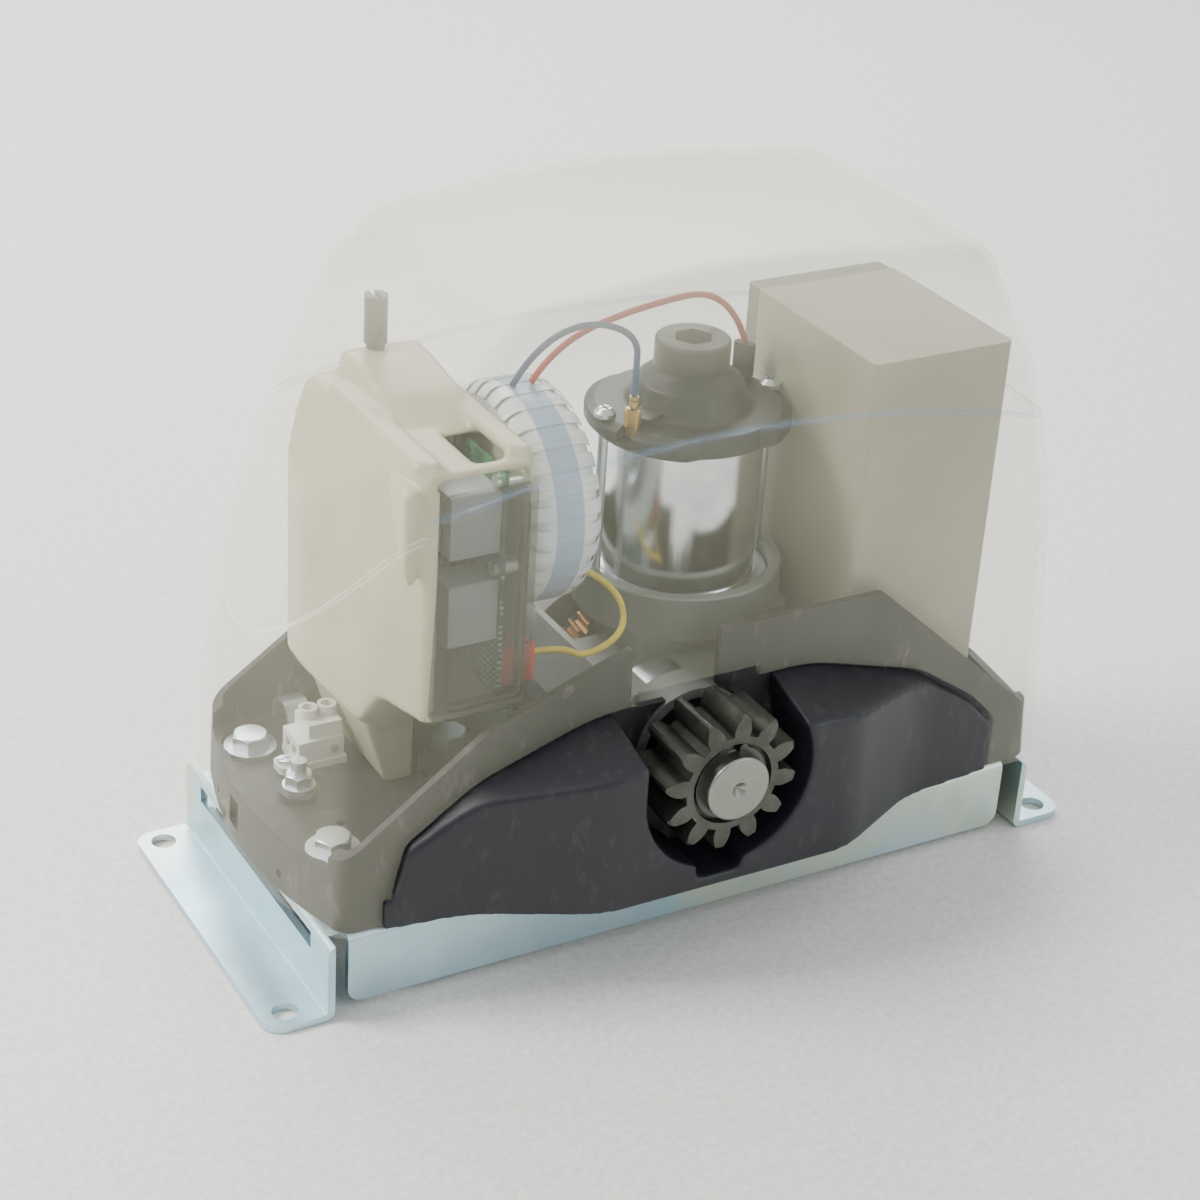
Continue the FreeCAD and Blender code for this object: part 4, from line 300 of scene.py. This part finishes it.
def coilFilm():
    # film wound round the ring, one lap over the next, with a faint blue-grey belt
    paint = Paint("coilFilm", Specular_IOR_Level=0.6, Coat_Weight=0.3, Coat_Roughness=0.15)
    x, y, z = paint.axes(paint.stretched((1, 1, 1), tuple(-v for v in coilAxis)))
    angle = z.math("ARCTAN2", y)
    laps = (angle * (46 / (2 * math.pi)) + 0.35 * paint.noise(30, 2)).math("FRACT")
    lapEdge = paint.between(laps, 0.86, 1.0)
    radius = (y * y + z * z) ** 0.5
    belt = paint.between(x.math("ABSOLUTE"), 0.0056, 0.0062, 1.0, 0.0) * paint.between(radius, 0.040, 0.0415)
    cloudy = paint.noise(40, 4, 0.6)
    white = paint.mix(paint.between(cloudy, 0.3, 0.7), screen(205, 214, 217), screen(238, 240, 238))
    white = paint.mix(0.45 * lapEdge, white, screen(150, 166, 178))
    paint.feed("Base Color", paint.mix(0.75 * belt, white, screen(128, 156, 186)))
    paint.feed("Roughness", 0.3 + 0.25 * cloudy)
    paint.feed("Normal", paint.bump(laps, 0.35, 0.0006))
    return paint


def coverShell():
    # cream cover shown see-through: thin low down, fuller on the crown, a faint blue line under the ledge,
    # and a painted white highlight along the ledge edge round the left end
    paint = Paint("coverShell", Specular_IOR_Level=0.4, Roughness=0.36)
    x, y, z = paint.axes()
    low = z + 0.371
    side = x - 0.005
    lineAt = (side * side + low * low) ** 0.5 - 0.5795
    line = paint.between(lineAt.math("ABSOLUTE"), 0.0004, 0.0010, 1.0, 0.0)
    line = line * paint.between(x, -0.1222, -0.1215)
    # painted highlight: a near-white line along the ledge edge, which dips in a U round the left end
    back = y - 0.026
    ledgeHighlightAt = z - 0.124 - back * back * 8.15
    ledgeHighlight = paint.between(ledgeHighlightAt.math("ABSOLUTE"), 0.0003, 0.0011, 1.0, 0.0) * paint.between(x, -0.1205, -0.1215)
    ledgeHighlight = ledgeHighlight * paint.between(y, 0.056, 0.055)
    cloudy = paint.noise(9, 4, 0.55)
    cream = paint.mix(paint.between(cloudy, 0.3, 0.7), screen(226, 224, 196), screen(242, 240, 216))
    cream = paint.mix(0.7 * line, cream, screen(96, 150, 206))
    paint.feed("Base Color", paint.mix(ledgeHighlight, cream, screen(252, 252, 244)))
    crown = paint.between(z, 0.232, 0.272, 0.0, 0.20)
    grain = paint.noise(1300, 2, 0.6)
    paint.feed("Alpha", 0.062 + crown + 0.03 * cloudy + 0.16 * line + 0.22 * ledgeHighlight)
    paint.feed("Normal", paint.bump(grain, 0.3, 0.0003))
    return paint


def smokedPanel():
    paint = Paint("smokedPanel", Roughness=0.12, Specular_IOR_Level=0.6)
    cloudy = paint.noise(30, 4, 0.6)
    scuff = paint.noise(300, 5, 0.7)
    paint.feed("Base Color", paint.mix(cloudy, screen(20, 24, 20), screen(38, 42, 36)))
    paint.feed("Roughness", 0.1 + 0.25 * scuff)
    paint.feed("Alpha", 0.26 + 0.12 * cloudy)
    return paint


def circuitBoard():
    # solder resist with copper tracks under it and tinned pads on a 2.54 mm grid
    paint = Paint("circuitBoard", Coat_Weight=0.4, Coat_Roughness=0.15)
    tracks = paint.between(paint.cells(180, "Distance", paint.stretched((0.01, 1, 0.4))), 0.42, 0.5)
    x, y, z = paint.axes()
    stepY = (y / 0.00254).math("FRACT") - 0.5
    stepZ = (z / 0.00254).math("FRACT") - 0.5
    pad = paint.between((stepY * stepY + stepZ * stepZ) ** 0.5, 0.17, 0.22, 1.0, 0.0)
    pad = pad * paint.between(paint.noise(95, 1), 0.52, 0.54)
    green = paint.mix(tracks, screen(18, 74, 46), screen(44, 116, 70))
    paint.feed("Base Color", paint.mix(pad, green, screen(200, 202, 196)))
    paint.feed("Metallic", pad * 0.8)
    paint.feed("Roughness", 0.3 + 0.2 * paint.noise(50, 3))
    paint.feed("Normal", paint.bump(tracks + pad, 0.3, 0.0001))
    return paint


def brightCan():
    # drawn, plated steel: draw lines up the wall, and soft bluish cloud in the plating
    paint = Paint("brightCan", Metallic=1.0)
    x, y, z = paint.axes(paint.stretched((1, 1, 1), tuple(-v for v in motorAxis)))
    angle = y.math("ARCTAN2", x)
    lines = paint.node("ShaderNodeTexNoise", {"noise_dimensions": "1D"},
                       {"W": angle * 90, "Scale": 1.0, "Detail": 4.0})
    cloudy = paint.noise(26, 4, 0.6)
    plating = paint.mix(paint.between(cloudy, 0.35, 0.7), screen(196, 200, 204), screen(236, 238, 238))
    paint.feed("Base Color", plating)
    paint.feed("Roughness", 0.05 + 0.07 * lines + 0.05 * cloudy)
    paint.feed("Normal", paint.bump(lines, 0.12, 0.0003))
    return paint


def copperWinding():
    paint = Paint("copperWinding", Metallic=0.9, Roughness=0.32)
    x, y, z = paint.axes(paint.stretched((1, 1, 1), tuple(-v for v in motorAxis)))
    angle = y.math("ARCTAN2", x)
    strands = ((angle * 60) + (z * 3000)).math("SINE")
    tone = paint.noise(120, 3)
    paint.feed("Base Color", paint.mix(tone, screen(150, 74, 40), screen(214, 128, 82)))
    paint.feed("Roughness", 0.28 + 0.15 * tone)
    paint.feed("Normal", paint.bump(strands, 0.6, 0.0003))
    return paint


def laminations():
    paint = Paint("laminations", Metallic=0.8)
    x, y, z = paint.axes()
    sheets = (z * (2 * math.pi / 0.0007)).math("SINE")
    rust = paint.noise(140, 4, 0.7)
    steel = paint.mix(paint.between(rust, 0.5, 0.8), screen(96, 98, 102), screen(124, 98, 80))
    paint.feed("Base Color", steel)
    paint.feed("Roughness", 0.42 + 0.2 * rust)
    paint.feed("Normal", paint.bump(sheets, 0.5, 0.0002))
    return paint


finishes = {
    "zinc_plate": zincPlate("zincPlate", screen(190, 220, 230)),
    "zinc_fixing": zincPlate("zincFixing", screen(204, 212, 214), along=(300, 300, 300), roughness=0.2),
    "black_screw": oiledSteel("blackScrew", screen(62, 62, 64)),
    "tray_plastic": mouldedPlastic("trayPlastic", screen(34, 35, 36),
                                   grainDepth=0.35, roughness=0.5, dust=0.3),
    "guard_plastic": mouldedPlastic("guardPlastic", screen(30, 31, 38),
                                    grainDepth=0.25, roughness=0.4, dust=0.08),
    "cast_aluminium": castMetal("castAluminium", screen(150, 151, 146)),
    "machined_aluminium": turnedMetal("machinedAluminium", screen(196, 197, 196), motorAxis, "Z"),
    "gear_steel": oiledSteel("gearSteel", screen(92, 96, 88)),
    "turned_steel": turnedMetal("turnedSteel", screen(150, 150, 144),
                                shaftAxis, "Y", pitch=0.0008, ringDepth=0.3),
    "bearing_steel": turnedMetal("bearingSteel", screen(200, 202, 204), shaftAxis, "Y", roughness=0.15),
    "seal_rubber": softRubber("sealRubber", screen(30, 30, 31)),
    "bronze": turnedMetal("bronze", screen(190, 142, 84), shaftAxis, "Y", roughness=0.3),
    "motor_steel": brightCan(),
    "magnet": mouldedPlastic("ferrite", screen(44, 44, 47), grain=2200, roughness=0.65),
    "lamination": laminations(),
    "copper": copperWinding(),
    "cap_plastic": mouldedPlastic("capPlastic", screen(38, 40, 36),
                                  grain=900, grainDepth=0.4, roughness=0.42, dust=0.2),
    "carbon": mouldedPlastic("carbon", screen(32, 32, 33), grain=2600, roughness=0.7),
    # spring steel shown dark grey: darkened to paint the shadow in the gap round the shaft end; the brush
    # springs share this finish
    "spring_steel": turnedMetal("springSteel", screen(92, 92, 90), shaftAxis, "Y", roughness=0.22),
    "brass": turnedMetal("brass", screen(206, 170, 96), motorAxis, "Z", roughness=0.25, wear=0.45),
    "controller_plastic": mouldedPlastic("controllerPlastic", screen(184, 180, 150),
                                         grain=700, grainDepth=0.5, roughness=0.38, dust=0.1, coat=0.15),
    "smoked_plastic": smokedPanel(),
    "board_green": circuitBoard(),
    "relay_white": mouldedPlastic("relayWhite", screen(222, 226, 228), grain=1800, roughness=0.35),
    "part_black": mouldedPlastic("partBlack", screen(38, 40, 46), grain=1800, roughness=0.35),
    "plug_red": mouldedPlastic("plugRed", screen(206, 44, 38), grain=1800, roughness=0.35),
    "dark_post": mouldedPlastic("darkPost", screen(64, 68, 58), grain=1500, roughness=0.4),
    "coil_white": coilFilm(),
    "block_white": mouldedPlastic("blockWhite", screen(224, 226, 218), grain=1300, roughness=0.4, dust=0.25),
    "battery_grey": mouldedPlastic("batteryGrey", screen(166, 164, 142),
                                   grain=1100, grainDepth=0.4, roughness=0.5),
    "battery_dark": mouldedPlastic("batteryDark", screen(120, 119, 104), grain=1100, roughness=0.5),
    "wire_blue": softRubber("wireBlue", screen(60, 84, 132), roughness=0.4),
    "wire_red": softRubber("wireRed", screen(186, 36, 34), roughness=0.4),
    "wire_yellow": softRubber("wireYellow", screen(232, 206, 60), roughness=0.4),
    "sleeve_black": softRubber("sleeveBlack", screen(26, 26, 27)),
    "cover_cream": coverShell(),
}

slots = {entry["node"]: entry["material_slot"] for entry in frame["record"]["subparts"]}


def coat(piece, paint):
    piece.data.materials.clear()
    piece.data.materials.append(paint.material)


for nodeName, piece in nodes.items():
    coat(piece, finishes[slots[nodeName]])
for nodeName, lead in leads.items():
    coat(lead, finishes[slots[nodeName]])
print("finishes on", len(nodes), "nodes")


# pieces made here, over or beside the CAD nodes

def turned(bm, profile, centre, axis="Z", steps=48):
    # full spin of an (r, height) profile round an axis through centre
    lift = {"X": lambda r, h: (h, r, 0), "Y": lambda r, h: (r, h, 0), "Z": lambda r, h: (r, 0, h)}[axis]
    line = {"X": (1, 0, 0), "Y": (0, 1, 0), "Z": (0, 0, 1)}[axis]
    start = [bm.verts.new(Vector(lift(r, h)) + Vector(centre)) for r, h in profile]
    edges = [bm.edges.new(pair) for pair in zip(start, start[1:])]
    bmesh.ops.spin(bm, geom=start + edges, cent=centre, axis=line, dvec=(0, 0, 0), angle=2 * math.pi,
                   steps=steps, use_merge=True, use_duplicate=False)


def slab(bm, outline, low, high, plane="xy", soft=0.0, segments=3):
    # outline in one plane, raised from low to high along the third axis, with softened edges
    lift = {"xy": lambda u, v, w: (u, v, w), "yz": lambda u, v, w: (w, u, v)}[plane]
    ring = [bm.verts.new(lift(u, v, low)) for u, v in outline]
    sole = bm.faces.new(ring)
    rise = Vector(lift(0, 0, high)) - Vector(lift(0, 0, low))
    grown = bmesh.ops.extrude_face_region(bm, geom=[sole])["geom"]
    top = [v for v in grown if isinstance(v, bmesh.types.BMVert)]
    bmesh.ops.translate(bm, verts=top, vec=rise)
    corners = ring + top
    faces = list({f for v in corners for f in v.link_faces})
    bmesh.ops.recalc_face_normals(bm, faces=faces)
    if soft:
        edges = list({e for v in corners for e in v.link_edges})
        bmesh.ops.bevel(bm, geom=edges, offset=soft, offset_type="OFFSET", segments=segments, profile=0.5,
                        affect="EDGES", material=-1)
    return faces


def brick(bm, low, high, soft=0.0, segments=3):
    outline = [(low[0], low[1]), (high[0], low[1]), (high[0], high[1]), (low[0], high[1])]
    slab(bm, outline, low[2], high[2], "xy", soft, segments)


def swung(bm, since, centre, degrees):
    # turns what was added after the first `since` points about a vertical line
    bm.verts.ensure_lookup_table()
    swing = Matrix.Rotation(math.radians(degrees), 3, "Z")
    bmesh.ops.rotate(bm, verts=bm.verts[since:], cent=centre, matrix=swing)


def finished(name, bm, slotName, body="base", smooth=True):
    bmesh.ops.remove_doubles(bm, verts=bm.verts, dist=0.000001)
    bmesh.ops.recalc_face_normals(bm, faces=bm.faces)
    mesh = bpy.data.meshes.new(name)
    bm.to_mesh(mesh)
    bm.free()
    for face in mesh.polygons:
        face.use_smooth = smooth
    if smooth:
        mesh.set_sharp_from_angle(angle=math.radians(38))
    piece = bpy.data.objects.new(name, mesh)
    scene.collection.objects.link(piece)
    coat(piece, finishes[slotName])
    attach(piece, body)
    return piece


def moulded(nodeName, slotName, voxel, rounds, extras=None):
    # the node's form with the rounded edges that a mould leaves, and extras grown into it
    bm = bmesh.new()
    bm.from_mesh(nodes[nodeName].data)
    bmesh.ops.remove_doubles(bm, verts=bm.verts, dist=0.000002)
    if extras:
        extras(bm)
    piece = finished(nodeName + "Moulded", bm, slotName)
    skin = piece.modifiers.new("skin", "REMESH")
    skin.mode = "VOXEL"
    skin.voxel_size = voxel
    skin.use_smooth_shade = True
    ease = piece.modifiers.new("ease", "SMOOTH")
    ease.factor = 0.5
    ease.iterations = rounds
    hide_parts(nodeName)
    return piece


def mm(*values):
    return tuple(value / 1000 for value in values)


# pinion guard: soft lobes either side of the well
moulded("pinion_guard", "guard_plastic", 0.0011, 14)
print("guard moulded")


# controller housing: two rails along its roof and the raised bed of the post
housingSetup = {"railLow": 204.5, "railHigh": 209.3,
                "bed": [(-20, 203), (4, 212), (30, 216.5), (44, 217), (49, 203)]}


def housingExtras(bm):
    for left, right, front, rear in ((-116.5, -107.5, -46, 34), (-80.5, -71.6, -46, 20)):
        brick(bm, mm(left, front, housingSetup["railLow"]), mm(right, rear, housingSetup["railHigh"]),
              0.0028, 3)
    slab(bm, [mm(y, z) for y, z in housingSetup["bed"]], -0.1065, -0.0735, "yz", 0.003, 3)
    # web on the front left corner, under the roof
    slab(bm, [mm(-48, 200), mm(-30, 200), mm(-43, 168), mm(-48, 162)], -0.1215, -0.1155, "yz", 0.0015, 2)


moulded("controller_housing", "controller_plastic", 0.00135, 7, housingExtras)
print("controller housing moulded")


# brass receptacle on the left blade, with its crimp round the blue lead
bladeSetup = {"axis": mm(27, 7, 0), "angle": 202, "radius": 35.6, "low": 187.6, "high": 196.0}

bm = bmesh.new()
radius, low, high = bladeSetup["radius"], bladeSetup["low"], bladeSetup["high"]
outer = mm(27 + radius - 1.15, 7 - 3.4, low), mm(27 + radius + 1.15, 7 + 3.4, high)
brick(bm, outer[0], outer[1], 0.0005, 2)
for side in (-1, 1):
    # the rolled lips that grip the blade
    lip = [(0.0, 0.0), (0.85, 0.0), (0.85, high - low - 1.2), (0.0, high - low - 1.2)]
    turned(bm, [mm(r, h) for r, h in lip], mm(27 + radius + 1.0, 7 + side * 2.4, low + 0.6), "Z", 16)
brick(bm, mm(27 + radius - 0.9, 7 - 1.7, high - 0.4), mm(27 + radius + 0.3, 7 + 1.7, high + 1.6), 0.0003, 2)
swung(bm, 0, bladeSetup["axis"], bladeSetup["angle"])
finished("bladeReceptacle", bm, "brass")

# crimp barrels round the blue lead, in line with its last run
bm = bmesh.new()
for low, high, barrel in ((196.6, 199.2, 1.75), (199.6, 201.4, 1.95)):
    profile = [(1.32, low), (barrel - 0.2, low), (barrel, low + 0.3), (barrel, high - 0.3),
               (barrel - 0.2, high), (1.32, high), (1.32, low)]
    turned(bm, [mm(r, h) for r, h in profile], mm(-6.01, -6.34, 0), "Z", 24)
finished("leadCrimps", bm, "brass")


# small parts on the board, seen through the smoked front: chips with their legs, and resistors
boardSetup = {"face": -82.05, "chips": [(-22, 118, 9, 14), (8, 112, 7, 10)], "resistors": (-18, 134, 6, 4.2)}

bm = bmesh.new()
for y, z, wide, tall in boardSetup["chips"]:
    brick(bm, mm(boardSetup["face"] - 3.2, y, z), mm(boardSetup["face"] - 0.4, y + wide, z + tall), 0.0003, 2)
finished("boardChips", bm, "part_black")

bm = bmesh.new()
y, z, count, step = boardSetup["resistors"]
for i in range(count):
    profile = [(0.0, -3.2), (0.9, -3.1), (1.25, -2.6), (1.25, -1.9), (1.0, -1.5),
               (1.0, 1.5), (1.25, 1.9), (1.25, 2.6), (0.9, 3.1), (0.0, 3.2)]
    turned(bm, [mm(r, h) for r, h in profile], mm(boardSetup["face"] - 1.4, y + i * step, z + 8), "Z", 16)
finished("boardResistors", bm, "relay_white")

bm = bmesh.new()
for y, z, wide, tall in boardSetup["chips"]:
    legs = int(tall / 1.27) - 1
    for i in range(legs):
        for edge in (y - 0.9, y + wide + 0.1):
            brick(bm, mm(boardSetup["face"] - 1.4, edge, z + 0.9 + i * 1.27),
                  mm(boardSetup["face"] - 0.2, edge + 0.8, z + 1.35 + i * 1.27))
finished("chipLegs", bm, "zinc_fixing", smooth=False)


# coil: overlapping turns of film round the ring, as shallow ridges
coilSetup = {"centre": (-45, 12, 161), "inner": 14.6, "outer": 43.5, "half": 14.2, "laps": 30}

bm = bmesh.new()
cx, cy, cz = coilSetup["centre"]
for i in range(coilSetup["laps"]):
    angle = 2 * math.pi * i / coilSetup["laps"]
    across = Vector((0, math.cos(angle), math.sin(angle)))
    along = Vector((0, -math.sin(angle), math.cos(angle)))
    half = coilSetup["half"]
    loop = [(coilSetup["outer"] - 3.5, half + 0.75), (coilSetup["outer"] - 0.4, half - 2.4),
            (coilSetup["outer"] + 0.45, half - 5.0), (coilSetup["outer"] + 0.45, 5.0 - half),
            (coilSetup["outer"] - 0.4, 2.4 - half), (coilSetup["outer"] - 3.5, -half - 0.75)]
    width = 4.1
    rows = []
    for shift, sink in ((-width, 0.35), (-width * 0.4, 0.02), (width * 0.55, 0.0), (width * 0.6, 0.4)):
        row = []
        for r, x in loop:
            point = Vector((cx + x, cy, cz)) + across * (r - sink) + along * (shift * 0.9)
            row.append(bm.verts.new(point / 1000))
        rows.append(row)
    for first, second in zip(rows, rows[1:]):
        for a, b, c, d in zip(first, first[1:], second[1:], second):
            bm.faces.new((a, b, c, d))
finished("filmLaps", bm, "coil_white")
print("small pieces made")


# stage: plain pale floor, soft boxes and a pale room

stageSetup = {"floor": screen(238, 237, 232), "keyPower": 60, "fillPower": 9, "rimPower": 34, "sky": 1.05}

bm = bmesh.new()
bmesh.ops.create_grid(bm, x_segments=1, y_segments=1, size=6)
bmesh.ops.translate(bm, verts=bm.verts, vec=(0, 0, -0.0004))
floorMesh = bpy.data.meshes.new("floor")
bm.to_mesh(floorMesh)
bm.free()
floor = bpy.data.objects.new("floor", floorMesh)
scene.collection.objects.link(floor)
floorPaint = Paint("floorPaint", Roughness=0.7)
speck = floorPaint.noise(330, 5, 0.75)
floorTone = floorPaint.mix(floorPaint.between(speck, 0.35, 0.7), shaded(stageSetup["floor"], 0.78),
                           stageSetup["floor"])
floorPaint.feed("Base Color", floorTone)
floorPaint.feed("Normal", floorPaint.bump(speck, 0.15, 0.0004))
coat(floor, floorPaint)


def softBox(name, place, aim, size, power, color=(1, 1, 1)):
    lamp = bpy.data.lights.new(name, "AREA")
    lamp.shape = "RECTANGLE"
    lamp.size, lamp.size_y = size
    lamp.energy = power
    lamp.color = color
    holder = bpy.data.objects.new(name, lamp)
    holder.location = place
    holder.rotation_euler = (Vector(aim) - Vector(place)).to_track_quat("-Z", "Y").to_euler()
    scene.collection.objects.link(holder)


softBox("keyLight", (-1.4, 0.7, 1.5), (0, 0, 0.1), (0.8, 0.8), stageSetup["keyPower"], (1.0, 0.97, 0.92))
softBox("fillLight", (1.1, -1.5, 0.9), (0, 0, 0.1), (1.2, 0.8), stageSetup["fillPower"], (0.93, 0.97, 1.0))
softBox("rimLight", (0.5, 1.5, 1.3), (0, 0, 0.15), (1.6, 0.7), stageSetup["rimPower"])

# the room: bright overhead and to the left, dimmer behind the camera, so bright metal has something to show
world = bpy.data.worlds.new("room")
scene.world = world
world.use_nodes = True
sky = world.node_tree
toward = sky.nodes.new("ShaderNodeTexCoord")
parts = sky.nodes.new("ShaderNodeSeparateXYZ")
sky.links.new(toward.outputs["Generated"], parts.inputs["Vector"])
depth = sky.nodes.new("ShaderNodeMapRange")
sky.links.new(parts.outputs["Y"], depth.inputs["Value"])
depth.inputs["From Min"].default_value = -0.9
depth.inputs["From Max"].default_value = 0.1
rise = sky.nodes.new("ShaderNodeMapRange")
sky.links.new(parts.outputs["Z"], rise.inputs["Value"])
rise.inputs["From Min"].default_value = 0.0
rise.inputs["From Max"].default_value = 0.75
most = sky.nodes.new("ShaderNodeMath")
most.operation = "MAXIMUM"
sky.links.new(depth.outputs["Result"], most.inputs[0])
sky.links.new(rise.outputs["Result"], most.inputs[1])
tone = sky.nodes.new("ShaderNodeValToRGB")
sky.links.new(most.outputs["Value"], tone.inputs["Fac"])
tone.color_ramp.elements[0].color = (0.30, 0.34, 0.38, 1)
tone.color_ramp.elements[1].color = (0.98, 0.99, 1.0, 1)
sky.links.new(tone.outputs["Color"], sky.nodes["Background"].inputs["Color"])
sky.nodes["Background"].inputs["Strength"].default_value = stageSetup["sky"]
print("stage lit")
